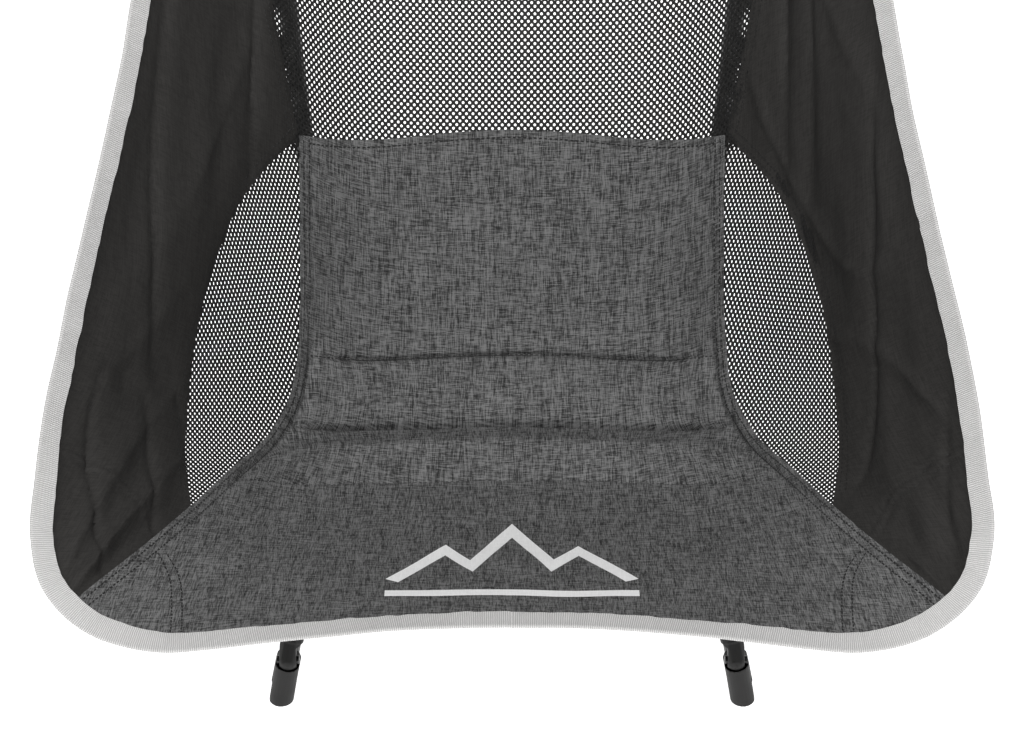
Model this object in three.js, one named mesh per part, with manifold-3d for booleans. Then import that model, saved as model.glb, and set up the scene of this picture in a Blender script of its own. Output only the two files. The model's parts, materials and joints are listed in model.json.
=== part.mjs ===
// Camp rocking chair: a fabric bucket seat stretched over four poles, on a sprung rocking base.
// Millimetres, +Z up. The sitter faces -Y, and "left" is the -X side.
import * as THREE from 'three';
import { mergeVertices } from 'three/addons/utils/BufferGeometryUtils.js';
import Module from 'manifold-3d';

const wasm = await Module();
wasm.setup();

// ---- driving dimensions ----------------------------------------------------

const ORIGIN_Y = 12;                 // the origin lies this far behind the rock pivots' datum
const FIT_GAP = 0.4;                 // clearance between a piece and the piece it fits
const FACETS = 12;                   // sides of a round tube

const LEG_RADIUS = 8.6;
const LEG_WALL = 1.5;
const POLE_RADIUS = 6.5;
const POLE_WALL = 1;
const RAIL_RADIUS = 7;
const RAIL_WALL = 1.4;

// joint centres of the right side; x changes sign on the left
const ROCK_PIVOT = new THREE.Vector3(160, -5, 38);
const HUB_CENTRE = new THREE.Vector3(124, 85, 195);
const STRUT_TOP = new THREE.Vector3(133, 118, 200);
const STRUT_FOOT = new THREE.Vector3(133, 282, 24);
const SEAT_TIP = new THREE.Vector3(250, -238, 304);
const BACK_TIP = new THREE.Vector3(187, 302, 786);
const RAIL_FRONT = new THREE.Vector3(164, 5, 11);
const RAIL_REAR = new THREE.Vector3(141, 270, 11);

const PIN_RADIUS = 3;
const EYE_RADIUS = 9;
const EYE_WIDTH = 12;                // along the pin
const EAR_GAP = 0.5;                 // side play between an eye and its ears
const FOOT_PIN_PLAY = 1.4;           // loose fit of the strut's lower eye on its pin

// ---- the sling's surface ---------------------------------------------------
// Stations run from the front of the seat to the top of the back. Across the
// sling u goes from -1 to 1, along it s goes from 0 to 1.

const EDGE_LINE = [
  [290, -310, 318], [293, -255, 349], [291, -195, 386], [282, -135, 424], [267, -70, 470],
  [250, 5, 528], [234, 90, 598], [219, 190, 694], [206, 302, 812],
];
const MIDDLE_LINE = [
  [0, -265, 305], [0, -170, 270], [0, -80, 238], [0, 0, 224], [0, 70, 250],
  [0, 120, 330], [0, 170, 450], [0, 230, 605], [0, 292, 792],
];
const KNEE = 0.4;                    // share of the half width that lies nearly flat
const KNEE_SOFTNESS = 0.1;
const RISE_POWER = 1.35;

const FABRIC_THICKNESS = 2.4;
const SEAM_GAP = 1.2;                // between neighbouring panels
const BINDING_WIDTH = 13;
const BINDING_THICKNESS = 4.4;

// seams of the right half, as [s, u]
const FRONT_HEM = [
  [-0.004, 0], [-0.005, 0.12], [-0.01, 0.25], [-0.018, 0.38], [-0.023, 0.52], [-0.024, 0.64],
  [-0.02, 0.72], [0.001, 0.82], [0.022, 0.88], [0.05, 0.93], [0.088, 0.972], [0.15, 1],
];
const CORNER_START = 8;              // the hem's point from which it turns up the side
const SEAT_SEAM = [
  [0.065, 0.926], [0.147, 0.792], [0.223, 0.705], [0.299, 0.64], [0.378, 0.575],
  [0.439, 0.547], [0.508, 0.55], [0.606, 0.574], [0.669, 0.593],
];
const CRESCENT_SEAM = [
  [0.223, 0.713], [0.307, 0.738], [0.377, 0.752], [0.438, 0.761], [0.504, 0.76],
  [0.546, 0.746], [0.597, 0.714], [0.633, 0.665], [0.669, 0.593],
];
const BACK_SEAM = [[0.669, 0.593], [0.719, 0.652], [0.76, 0.7], [0.82, 0.74], [0.9, 0.76], [1, 0.77]];
const BACK_MESH_FOOT = 0.694;        // where the back mesh meets the seat panel, at the middle
const HEAD_BAND_FOOT = 0.93;         // where the head band starts

// ---- colours and finishes --------------------------------------------------

const finish = (color, roughness, metalness) => new THREE.MeshStandardMaterial({ color, roughness, metalness });
const MELANGE = finish(0x4c4e4f, 0.9, 0);
const BLACK_CLOTH = finish(0x2b2929, 0.85, 0);
const BLACK_MESH = finish(0x232323, 0.8, 0);
const GREY_WEBBING = finish(0xb0aeae, 0.8, 0);
const BLACK_FOAM = finish(0x303030, 0.95, 0);
const BLACK_TUBE = finish(0x262626, 0.4, 0.6);
const BLACK_NYLON = finish(0x282727, 0.6, 0);
const BRIGHT_STEEL = finish(0xb4b6b8, 0.3, 1);

// ---- solids ----------------------------------------------------------------

const UP = new THREE.Vector3(0, 1, 0);
const ACROSS = new THREE.Vector3(1, 0, 0);

function signedVolume(positions, index) {
  const [a, b, c] = [new THREE.Vector3(), new THREE.Vector3(), new THREE.Vector3()];
  let sum = 0;
  for (let i = 0; i < index.length; i += 3) {
    a.fromArray(positions, 3 * index[i]);
    b.fromArray(positions, 3 * index[i + 1]);
    c.fromArray(positions, 3 * index[i + 2]);
    sum += a.dot(b.cross(c));
  }
  return sum;
}

// One closed skin: shared corners merged, empty triangles dropped, faces turned outwards.
function weld(geometry) {
  geometry.deleteAttribute('normal');
  geometry.deleteAttribute('uv');
  const merged = mergeVertices(geometry, 1e-3);
  const index = [];
  const old = merged.index.array;
  for (let i = 0; i < old.length; i += 3) {
    const [a, b, c] = [old[i], old[i + 1], old[i + 2]];
    if (a !== b && b !== c && c !== a) index.push(a, b, c);
  }
  if (signedVolume(merged.attributes.position.array, index) < 0) index.reverse();
  merged.setIndex(index);
  return merged;
}

function toSolid(geometry) {
  const skin = weld(geometry);
  return new wasm.Manifold(new wasm.Mesh({
    numProp: 3,
    vertProperties: new Float32Array(skin.attributes.position.array),
    triVerts: new Uint32Array(skin.index.array),
  }));
}

function toGeometry(solid) {
  const mesh = solid.getMesh();
  const geometry = new THREE.BufferGeometry();
  geometry.setAttribute('position', new THREE.BufferAttribute(mesh.vertProperties.slice(), 3));
  geometry.setIndex(Array.from(mesh.triVerts));
  return geometry;
}

// A shape turned from a profile of [radius, height] points, its axis from one point towards another.
function turned(profile, from, towards, sides = FACETS) {
  const points = profile.map(([radius, height]) => new THREE.Vector2(radius, height));
  const geometry = new THREE.LatheGeometry(points, sides);
  const direction = towards.clone().sub(from).normalize();
  geometry.applyQuaternion(new THREE.Quaternion().setFromUnitVectors(UP, direction));
  geometry.translate(from.x, from.y, from.z);
  return weld(geometry);
}

const rod = (from, towards, start, end, radius, sides = FACETS) =>
  turned([[0, start], [radius, start], [radius, end], [0, end]], from, towards, sides);

const tube = (from, towards, start, end, outer, inner, sides = FACETS) =>
  turned([[inner, start], [outer, start], [outer, end], [inner, end], [inner, start]], from, towards, sides);

const ball = (centre, radius, sides = FACETS) => {
  const geometry = new THREE.SphereGeometry(radius, sides, Math.round(sides / 2));
  geometry.translate(centre.x, centre.y, centre.z);
  return weld(geometry);
};

function block(centre, size) {
  const geometry = new THREE.BoxGeometry(...size);
  geometry.translate(...centre);
  return weld(geometry);
}

// A short cylinder along X, centred on a point.
const drum = (centre, radius, width, sides = FACETS) =>
  rod(centre, centre.clone().add(ACROSS), -width / 2, width / 2, radius, sides);

// Geometries joined and then cut by others, as one solid.
function carve(joined, cuts) {
  const solids = joined.map(toSolid);
  let body = solids[0];
  for (const more of solids.slice(1)) body = body.add(more);
  for (const cut of cuts) body = body.subtract(toSolid(cut));
  return toGeometry(body);
}

const onSide = (point, side) => new THREE.Vector3(side * point.x, point.y, point.z);

const chair = new THREE.Group();
chair.position.y = -ORIGIN_Y;

function add(name, geometry, material) {
  const mesh = new THREE.Mesh(geometry, material);
  mesh.name = name;
  chair.add(mesh);
}

// ---- sling: surface, panels and binding --------------------------------------

function catmull(points, t) {
  const spans = points.length - 1;
  const i = Math.min(Math.max(Math.floor(t * spans), 0), spans - 1);
  const f = t * spans - i;
  const at = (k) => {
    if (k < 0) return points[0].map((value, n) => 2 * value - points[1][n]);
    if (k > spans) return points[spans].map((value, n) => 2 * value - points[spans - 1][n]);
    return points[k];
  };
  const [a, b, c, d] = [at(i - 1), at(i), at(i + 1), at(i + 2)];
  return b.map((_, n) => 0.5 * (2 * b[n] + (c[n] - a[n]) * f
    + (2 * a[n] - 5 * b[n] + 4 * c[n] - d[n]) * f * f + (3 * b[n] - a[n] - 3 * c[n] + d[n]) * f ** 3));
}

// 0 along the middle, 1 along the edges, nearly flat inside the knee.
function rise(u) {
  const soft = (x) => KNEE_SOFTNESS * Math.log1p(Math.exp((x - KNEE) / KNEE_SOFTNESS));
  return Math.max((soft(Math.abs(u)) - soft(0)) / (soft(1) - soft(0)), 0) ** RISE_POWER;
}

function slingPoint(u, s) {
  const edge = catmull(EDGE_LINE, s);
  const middle = catmull(MIDDLE_LINE, s);
  const share = rise(u);
  return new THREE.Vector3(edge[0] * u, middle[1] + (edge[1] - middle[1]) * share,
    middle[2] + (edge[2] - middle[2]) * share);
}

// The surface normal, on the sitter's side.
function slingNormal(u, s) {
  const step = 1e-3;
  const acrossSling = slingPoint(u + step, s).sub(slingPoint(u - step, s));
  const upSling = slingPoint(u, s + step).sub(slingPoint(u, s - step));
  return acrossSling.cross(upSling).normalize();
}

const offSling = (u, s, height) => slingPoint(u, s).addScaledVector(slingNormal(u, s), height);

// A value read along a seam's list of [key, value] points.
function readAlong(seam, key) {
  let i = 0;
  while (i < seam.length - 2 && key > seam[i + 1][0]) i += 1;
  const [[k0, v0], [k1, v1]] = [seam[i], seam[i + 1]];
  return v0 + (v1 - v0) * Math.min(Math.max((key - k0) / (k1 - k0), 0), 1);
}

const swapped = (seam) => seam.map(([s, u]) => [u, s]);
const frontHemAt = (u) => readAlong(swapped(FRONT_HEM), Math.abs(u));
const halfWidthAt = (s) => catmull(EDGE_LINE, s)[0];
const seamShare = (s, distance) => distance / halfWidthAt(s);

// A sheet of cloth over a grid: place(a, b) gives [u, s] for a and b from 0 to 1.
function sheet(place, columns, rows, top = 0, bottom = -FABRIC_THICKNESS) {
  const vertices = [];
  const index = [];
  const row = columns + 1;
  const layer = row * (rows + 1);
  for (const height of [top, bottom]) {
    for (let j = 0; j <= rows; j += 1) {
      for (let i = 0; i <= columns; i += 1) {
        const [u, s] = place(i / columns, j / rows);
        const lift = typeof height === 'function' ? height(i / columns, j / rows) : height;
        vertices.push(...offSling(u, s, lift).toArray());
      }
    }
  }
  const quad = (a, b, c, d) => index.push(a, b, c, a, c, d);
  for (let j = 0; j < rows; j += 1) {
    for (let i = 0; i < columns; i += 1) {
      const corner = j * row + i;
      quad(corner, corner + 1, corner + row + 1, corner + row);
      quad(layer + corner, layer + corner + row, layer + corner + row + 1, layer + corner + 1);
    }
  }
  for (let i = 0; i < columns; i += 1) {
    const last = rows * row + i;
    quad(i, layer + i, layer + i + 1, i + 1);
    quad(last + 1, layer + last + 1, layer + last, last);
  }
  for (let j = 0; j < rows; j += 1) {
    const near = j * row;
    const far = near + columns;
    quad(near + row, layer + near + row, layer + near, near);
    quad(far, layer + far, layer + far + row, far + row);
  }
  const geometry = new THREE.BufferGeometry();
  geometry.setAttribute('position', new THREE.Float32BufferAttribute(vertices, 3));
  geometry.setIndex(index);
  return weld(geometry);
}

const mix = (from, to, share) => from + (to - from) * share;
const SIDE_PANEL_FOOT = 0.118;       // where the side panels run out at the front corners
const SEAT_CORNER = 0.84;            // the seat panel's half width at the front hem, as a share

// Millimetres of cloth to one unit of s at a place on the sling.
const lengthScale = (u, s) => slingPoint(u, s + 0.005).distanceTo(slingPoint(u, s - 0.005)) / 0.01;

const rimInset = (s) => seamShare(s, BINDING_WIDTH + SEAM_GAP / 2);
const rimInsetAlong = (u, s) => (BINDING_WIDTH + 2.6 * SEAM_GAP) / lengthScale(u, s);
const hemInside = (u) => frontHemAt(u) + rimInsetAlong(u, frontHemAt(u));
const halfGap = (s) => seamShare(s, SEAM_GAP / 2);

function seatPanel() {
  const place = (a, b) => {
    const c = 2 * a - 1;
    const seam = mix(0.088, SEAT_SEAM.at(-1)[0], b);
    const width = Math.min(readAlong(SEAT_SEAM, seam), SEAT_CORNER) - halfGap(seam);
    const hem = hemInside(c * width);
    const middle = mix(hemInside(0), BACK_MESH_FOOT, b);
    return [c * width, mix(hem, middle + (seam - middle) * c * c, Math.min(1, b * 6))];
  };
  return sheet(place, 12, 18);
}

function sidePanelInner(s) {
  if (s < CRESCENT_SEAM[0][0]) return readAlong(SEAT_SEAM, s);
  return s < BACK_SEAM[0][0] ? readAlong(CRESCENT_SEAM, s) : readAlong(BACK_SEAM, s);
}

function sidePanel(side) {
  const place = (a, b) => {
    const s = mix(SIDE_PANEL_FOOT, HEAD_BAND_FOOT - halfGap(1), b);
    const inner = sidePanelInner(s) + halfGap(s);
    const corner = readAlong(FRONT_HEM.slice(CORNER_START), s);
    const outer = corner - rimInset(s) * (s < 0.15 ? 1.5 : 1);
    return [side * mix(inner, outer, a), s];
  };
  return sheet(place, 4, 20);
}

function sideMesh(side) {
  const foot = CRESCENT_SEAM[0][0] + 0.012;
  const head = CRESCENT_SEAM.at(-1)[0] - 0.02;
  const place = (a, b) => {
    const s = mix(foot, head, b);
    return [side * mix(readAlong(SEAT_SEAM, s) + halfGap(s), readAlong(CRESCENT_SEAM, s) - halfGap(s), a), s];
  };
  return sheet(place, 3, 10);
}

function backMesh() {
  const place = (a, b) => {
    const c = 2 * a - 1;
    const edge = mix(BACK_SEAM[0][0] + 0.003, HEAD_BAND_FOOT - 0.002, b);
    const middle = mix(BACK_MESH_FOOT + 0.003, HEAD_BAND_FOOT - 0.002, b);
    return [c * (readAlong(BACK_SEAM, edge) - halfGap(edge)), middle + (edge - middle) * c * c];
  };
  return sheet(place, 8, 7);
}

function headBand() {
  const place = (a, b) => {
    const u = (2 * a - 1) * (1 - rimInset(1));
    return [u, mix(HEAD_BAND_FOOT + 0.001, 1 - rimInsetAlong(u, 1), b)];
  };
  return sheet(place, 12, 2);
}

// The rim runs round the sling: the front hem and its round corners, the sides and the top.
function rimStations() {
  const hem = swapped(FRONT_HEM).slice(0, -1);
  const sideLine = Array.from({ length: 14 }, (_, n) => [1, mix(FRONT_HEM.at(-1)[0], 0.985, n / 13)]);
  const topLine = [0.97, 0.75, 0.5, 0.25].map((u) => [u, 1]);
  const rightHalf = [...hem, ...sideLine, ...topLine];
  const leftHalf = rightHalf.slice(1).reverse().map(([u, s]) => [-u, s]);
  return [...rightHalf, [0, 1], ...leftHalf];
}

function edgeBinding() {
  const stations = rimStations();
  const count = stations.length;
  const rings = stations.map(([u, s], k) => {
    const [uBefore, sBefore] = stations[(k + count - 1) % count];
    const [uAfter, sAfter] = stations[(k + 1) % count];
    const width = halfWidthAt(s);
    const length = lengthScale(u, s);
    const tangent = new THREE.Vector2((uAfter - uBefore) * width, (sAfter - sBefore) * length).normalize();
    const inner = [u - tangent.y * BINDING_WIDTH / width, s + tangent.x * BINDING_WIDTH / length];
    const above = (BINDING_THICKNESS - FABRIC_THICKNESS) / 2;
    const below = above - BINDING_THICKNESS;
    return [offSling(u, s, above), offSling(...inner, above), offSling(...inner, below), offSling(u, s, below)];
  });
  const vertices = rings.flat().flatMap((point) => point.toArray());
  const index = [];
  for (let k = 0; k < count; k += 1) {
    const next = (k + 1) % count;
    for (let n = 0; n < 4; n += 1) {
      const [a, b, c, d] = [4 * k + n, 4 * k + (n + 1) % 4, 4 * next + (n + 1) % 4, 4 * next + n];
      index.push(a, b, c, a, c, d);
    }
  }
  const geometry = new THREE.BufferGeometry();
  geometry.setAttribute('position', new THREE.Float32BufferAttribute(vertices, 3));
  geometry.setIndex(index);
  return weld(geometry);
}

// The foam pad under the seat panel, where the sitter's weight comes.
const PAD_HALF_WIDTH = 0.5;
const PAD_THICKNESS = 6;
const PAD_DROP = 3;                  // between the panel's underside and the pad
function seatPadding() {
  const place = (a, b) => [(2 * a - 1) * PAD_HALF_WIDTH, mix(0.31, 0.5, b)];
  const under = -FABRIC_THICKNESS - PAD_DROP;
  return sheet(place, 8, 10, under, under - PAD_THICKNESS);
}

add('seat_panel', seatPanel(), MELANGE);
add('seat_padding', seatPadding(), BLACK_FOAM);
add('back_mesh', backMesh(), BLACK_MESH);
add('head_band', headBand(), BLACK_CLOTH);
add('edge_binding', edgeBinding(), GREY_WEBBING);

// ---- poles, legs and hubs ----------------------------------------------------

const SOCKET_START = 18;             // from the hub's centre to the bottom of a socket
const HUB_RADIUS = 21;
const LEG_SLEEVE = { radius: 12.2, end: 46 };
const POLE_SLEEVE = { radius: 9.8, end: 56 };
const BAR_SLEEVE = { radius: 10.6, end: 46 };
const BAR_RADIUS = 8;
const BAR_WALL = 1.4;
const FERRULE_LENGTH = 46;
const CAP_LENGTH = 36;               // of a fabric pocket on a pole tip
const CAP_RADIUS = 10.8;
const TIP_RADIUS = 7.6;

const LEG_SHOULDER = 14;             // from the rock pivot to the leg end's shoulder
const TRIM_HEIGHT = 11.5;            // the tongue is flat-sided up to here over the pivot
const THROUGH = 60;                  // length of a cutter that goes right through a piece
const LEG_TUBE_START = 21;
const EAR_THICKNESS = 4.6;

const earOffset = EYE_WIDTH / 2 + EAR_GAP + EAR_THICKNESS / 2;

// Two ears joining a body to a strut pivot. The arm runs from the pivot to a point in the body.
function ears(pivot, armTo) {
  return [-earOffset, earOffset].flatMap((offset) => {
    const shift = new THREE.Vector3(offset, 0, 0);
    const centre = pivot.clone().add(shift);
    const end = new THREE.Vector3(pivot.x, armTo.y, armTo.z).add(shift);
    const middle = centre.clone().add(end).multiplyScalar(0.5);
    const reach = end.distanceTo(centre);
    const arm = new THREE.BoxGeometry(EAR_THICKNESS, reach, 2 * EYE_RADIUS - 1);
    arm.rotateX(Math.atan2(end.z - centre.z, end.y - centre.y));
    arm.translate(middle.x, middle.y, middle.z);
    return [drum(centre, EYE_RADIUS + 0.8, EAR_THICKNESS), weld(arm)];
  });
}

function hub(side) {
  const centre = onSide(HUB_CENTRE, side);
  const strut = onSide(STRUT_TOP, side);
  const inward = centre.clone().setX(0);
  const sockets = [
    [onSide(ROCK_PIVOT, side), LEG_SLEEVE, LEG_RADIUS],
    [onSide(SEAT_TIP, side), POLE_SLEEVE, POLE_RADIUS],
    [onSide(BACK_TIP, side), POLE_SLEEVE, POLE_RADIUS],
    [inward, BAR_SLEEVE, BAR_RADIUS],
  ];
  const sleeves = sockets.map(([towards, sleeve]) => rod(centre, towards, 0, sleeve.end, sleeve.radius));
  const bores = sockets.map(([towards, sleeve, radius]) =>
    rod(centre, towards, SOCKET_START - FIT_GAP, sleeve.end + 5, radius + FIT_GAP));
  const eyeRoom = drum(strut, EYE_RADIUS + 2.2, EYE_WIDTH + 2 * EAR_GAP);
  const pinHole = drum(strut, PIN_RADIUS + FIT_GAP, THROUGH, 8);
  return carve([ball(centre, HUB_RADIUS), ...sleeves, ...ears(strut, centre)], [...bores, eyeRoom, pinHole]);
}

// A pole in two lengths, a ferrule over the joint, a plastic tip and the fabric pocket that holds it.
function pole(name, side, tipPoint) {
  const sideName = side < 0 ? 'left' : 'right';
  const hubCentre = onSide(HUB_CENTRE, side);
  const tip = onSide(tipPoint, side);
  const length = hubCentre.distanceTo(tip);
  const joint = (SOCKET_START + length) / 2 + 8;
  const tubeEnd = length - 14;
  const bore = POLE_RADIUS - POLE_WALL;
  const sleeve = POLE_RADIUS + FIT_GAP;
  add(`${name}_pole_lower_${sideName}`,
    tube(hubCentre, tip, SOCKET_START, joint - FIT_GAP / 2, POLE_RADIUS, bore), BLACK_TUBE);
  add(`${name}_pole_upper_${sideName}`,
    tube(hubCentre, tip, joint + FIT_GAP / 2, tubeEnd, POLE_RADIUS, bore), BLACK_TUBE);
  add(`${name}_ferrule_${sideName}`,
    tube(hubCentre, tip, joint - FERRULE_LENGTH / 2, joint + FERRULE_LENGTH / 2, sleeve + 1, sleeve), BLACK_TUBE);
  const plug = bore - FIT_GAP;
  const crown = [0, 30, 60].map((degrees) => {
    const angle = THREE.MathUtils.degToRad(degrees);
    return [TIP_RADIUS * Math.cos(angle), length - 4 + TIP_RADIUS * Math.sin(angle)];
  });
  add(`${name}_pole_tip_${sideName}`,
    turned([[0, tubeEnd - 16], [plug, tubeEnd - 16], [plug, tubeEnd + FIT_GAP], [TIP_RADIUS, tubeEnd + FIT_GAP],
      ...crown, [0, length - 4 + TIP_RADIUS]], hubCentre, tip, 12), BLACK_NYLON);
  const mouth = length + TIP_RADIUS - CAP_LENGTH;
  const floor = length + TIP_RADIUS - 3;
  const inside = TIP_RADIUS + 1;
  add(`${name}_pocket_${sideName}`,
    turned([[0, floor], [inside - 2, floor], [inside, floor - 5], [inside, mouth], [CAP_RADIUS, mouth],
      [CAP_RADIUS, floor - 3], [CAP_RADIUS - 4, floor + 2], [0, floor + 2]], hubCentre, tip, 12), BLACK_CLOTH);
}

// The leg's lower end: a plug in the tube, a shoulder, and a round-ended tongue on the rock pivot.
const TONGUE_WIDTH = 12;
const TONGUE_RADIUS = 8.2;
const PLUG_LENGTH = 24;
function legEnd(side) {
  const pivot = onSide(ROCK_PIVOT, side);
  const centre = onSide(HUB_CENTRE, side);
  const tongue = rod(pivot, centre, 0, LEG_TUBE_START - FIT_GAP, TONGUE_RADIUS);
  const shoulder = rod(pivot, centre, LEG_SHOULDER, LEG_TUBE_START - FIT_GAP, LEG_RADIUS);
  const plug = rod(pivot, centre, LEG_SHOULDER, LEG_TUBE_START + PLUG_LENGTH, LEG_RADIUS - LEG_WALL - FIT_GAP);
  const trimDepth = 20;
  const sideTrim = [-1, 1].map((end) => block([pivot.x + (end * (TONGUE_WIDTH + trimDepth)) / 2, pivot.y, pivot.z],
    [trimDepth, 2 * trimDepth, 2 * TRIM_HEIGHT]));
  return carve([ball(pivot, TONGUE_RADIUS), tongue, shoulder, plug],
    [...sideTrim, drum(pivot, PIN_RADIUS + FIT_GAP, THROUGH, 8)]);
}

for (const [sideName, side] of [['left', -1], ['right', 1]]) {
  const centre = onSide(HUB_CENTRE, side);
  const pivot = onSide(ROCK_PIVOT, side);
  add(`side_panel_${sideName}`, sidePanel(side), BLACK_CLOTH);
  add(`side_mesh_${sideName}`, sideMesh(side), BLACK_MESH);
  add(`hub_${sideName}`, hub(side), BLACK_NYLON);
  pole('seat', side, SEAT_TIP);
  pole('back', side, BACK_TIP);
  const legLength = centre.distanceTo(pivot);
  add(`front_leg_${sideName}`,
    tube(pivot, centre, LEG_TUBE_START, legLength - SOCKET_START, LEG_RADIUS, LEG_RADIUS - LEG_WALL), BLACK_TUBE);
  add(`leg_end_${sideName}`, legEnd(side), BLACK_NYLON);
}

const barEnd = HUB_CENTRE.x - SOCKET_START;
add('hub_crossbar', tube(new THREE.Vector3(0, HUB_CENTRE.y, HUB_CENTRE.z), HUB_CENTRE, -barEnd, barEnd,
  BAR_RADIUS, BAR_RADIUS - BAR_WALL), BLACK_TUBE);

// ---- rocking base --------------------------------------------------------------

const BOOT_RADIUS = 8.8;
const BOOT_SIDES = 20;
const BOOT_LEAN = 0.16;              // the boot stands wider than its pivot by this share of its height
const WELL_RADIUS = 9.4;
const SLOT_WIDTH = TONGUE_WIDTH + 2 * EAR_GAP;
const RAIL_SLEEVE = 9.2;
const REAR_FOOT = { width: 34, front: 262, back: 304, height: 11 };
const CROSS_RAIL_Y = 284;
const CROSS_RAIL_Z = 10;

// The front foot: a round boot that leans outward, slotted for the leg's tongue, with a socket for the rail.
function frontShoe(side) {
  const pivot = onSide(ROCK_PIVOT, side);
  const base = new THREE.Vector3(pivot.x + side * BOOT_LEAN * pivot.z, pivot.y, 0);
  const belowGround = 10;
  const boot = rod(base, pivot, -belowGround, base.distanceTo(pivot), BOOT_RADIUS, BOOT_SIDES);
  const railFront = onSide(RAIL_FRONT, side);
  const railRear = onSide(RAIL_REAR, side);
  const socket = rod(railFront, railRear, -4, 24, RAIL_SLEEVE);
  const bore = rod(railFront, railRear, 2, 40, RAIL_RADIUS + FIT_GAP);
  const slotHeight = 40;
  const slot = block([pivot.x, pivot.y, pivot.z + slotHeight / 2], [SLOT_WIDTH, THROUGH, slotHeight]);
  const pinHole = drum(pivot, PIN_RADIUS + FIT_GAP, THROUGH, 8);
  const ground = block([base.x, base.y, -belowGround], [THROUGH, THROUGH, 2 * belowGround]);
  const well = ball(pivot, WELL_RADIUS, 16);
  return carve([boot, ball(pivot, BOOT_RADIUS, BOOT_SIDES), socket], [slot, well, pinHole, bore, ground]);
}

// The rear foot: a pad on the ground with sockets for both rails and ears for the strut's lower eye.
function rearFoot(side) {
  const strut = onSide(STRUT_FOOT, side);
  const railFront = onSide(RAIL_FRONT, side);
  const railRear = onSide(RAIL_REAR, side);
  const depth = REAR_FOOT.back - REAR_FOOT.front;
  const pad = block([strut.x + side * 1, (REAR_FOOT.front + REAR_FOOT.back) / 2, REAR_FOOT.height / 2],
    [REAR_FOOT.width, depth, REAR_FOOT.height]);
  const crossCentre = new THREE.Vector3(strut.x, CROSS_RAIL_Y, CROSS_RAIL_Z);
  const crossInward = crossCentre.clone().setX(0);
  const sleeves = [rod(railRear, railFront, 2, 30, RAIL_SLEEVE), rod(crossCentre, crossInward, 0, 34, RAIL_SLEEVE)];
  const bores = [
    rod(railRear, railFront, 3, 60, RAIL_RADIUS + FIT_GAP),
    rod(crossCentre, crossInward, earOffset + EAR_THICKNESS / 2 + 2, 60, RAIL_RADIUS + FIT_GAP),
  ];
  const eyeRoom = drum(strut, EYE_RADIUS + 1.8, EYE_WIDTH + 2 * EAR_GAP);
  const swing = block([strut.x, strut.y - 14, strut.z + 4], [EYE_WIDTH + 2 * EAR_GAP, 28, 2 * EYE_RADIUS]);
  const pinHole = drum(strut, PIN_RADIUS + FIT_GAP, THROUGH, 8);
  const underside = block([strut.x, strut.y - 20, -10], [120, 160, 20]);
  return carve([pad, ...sleeves, ...ears(strut, new THREE.Vector3(0, strut.y, 4))],
    [...bores, eyeRoom, swing, pinHole, underside]);
}

// A pin with a low head at each end of its shank, outside the ears.
function pin(centre, reach, side) {
  const head = { radius: PIN_RADIUS + 2, height: 1.8 };
  const inner = centre.clone().add(new THREE.Vector3(-side * reach, 0, 0));
  const length = 2 * reach;
  return turned([[0, -head.height], [head.radius, -head.height], [head.radius, -FIT_GAP], [PIN_RADIUS, -FIT_GAP],
    [PIN_RADIUS, length + FIT_GAP], [head.radius, length + FIT_GAP], [head.radius, length + head.height],
    [0, length + head.height]], inner, centre, 8);
}

// ---- spring struts ---------------------------------------------------------------

const STRUT_OUTER = 12;
const STRUT_BORE = 10;
const ROD_RADIUS = 6;
const STRUT_TUBE = { start: 26, end: 152 };
const PISTON = { start: 122, end: 128, radius: 9.4 };
const SPRING = { start: 40, end: 120, radius: 7.8, wire: 1.3, turns: 7 };
const GLAND = { start: 134, flange: 152.4, end: 158 };

// An eye across the strut, with a neck that leads into the piece it ends.
function strutEye(centre, towards, neckEnd, bore) {
  const neck = rod(centre, towards, 3, neckEnd, ROD_RADIUS);
  return [[drum(centre, EYE_RADIUS, EYE_WIDTH), neck], [drum(centre, bore, THROUGH, 10)]];
}

function strutYoke(top, foot) {
  const [eye, hole] = strutEye(top, foot, 20, PIN_RADIUS + FIT_GAP);
  const cap = rod(top, foot, 13, STRUT_TUBE.start - FIT_GAP, STRUT_OUTER);
  const plug = rod(top, foot, 13, SPRING.start - 2, STRUT_BORE - FIT_GAP);
  return carve([...eye, cap, plug], hole);
}

function strutRod(top, foot) {
  const [eye, hole] = strutEye(foot, top, 30, PIN_RADIUS + FOOT_PIN_PLAY);
  const length = top.distanceTo(foot);
  const shaft = rod(top, foot, PISTON.start, length - 12, ROD_RADIUS);
  const piston = rod(top, foot, PISTON.start, PISTON.end, PISTON.radius);
  const collar = rod(top, foot, length - 24, length - 12, ROD_RADIUS + 2.5);
  return carve([...eye, shaft, piston, collar], hole);
}

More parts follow.
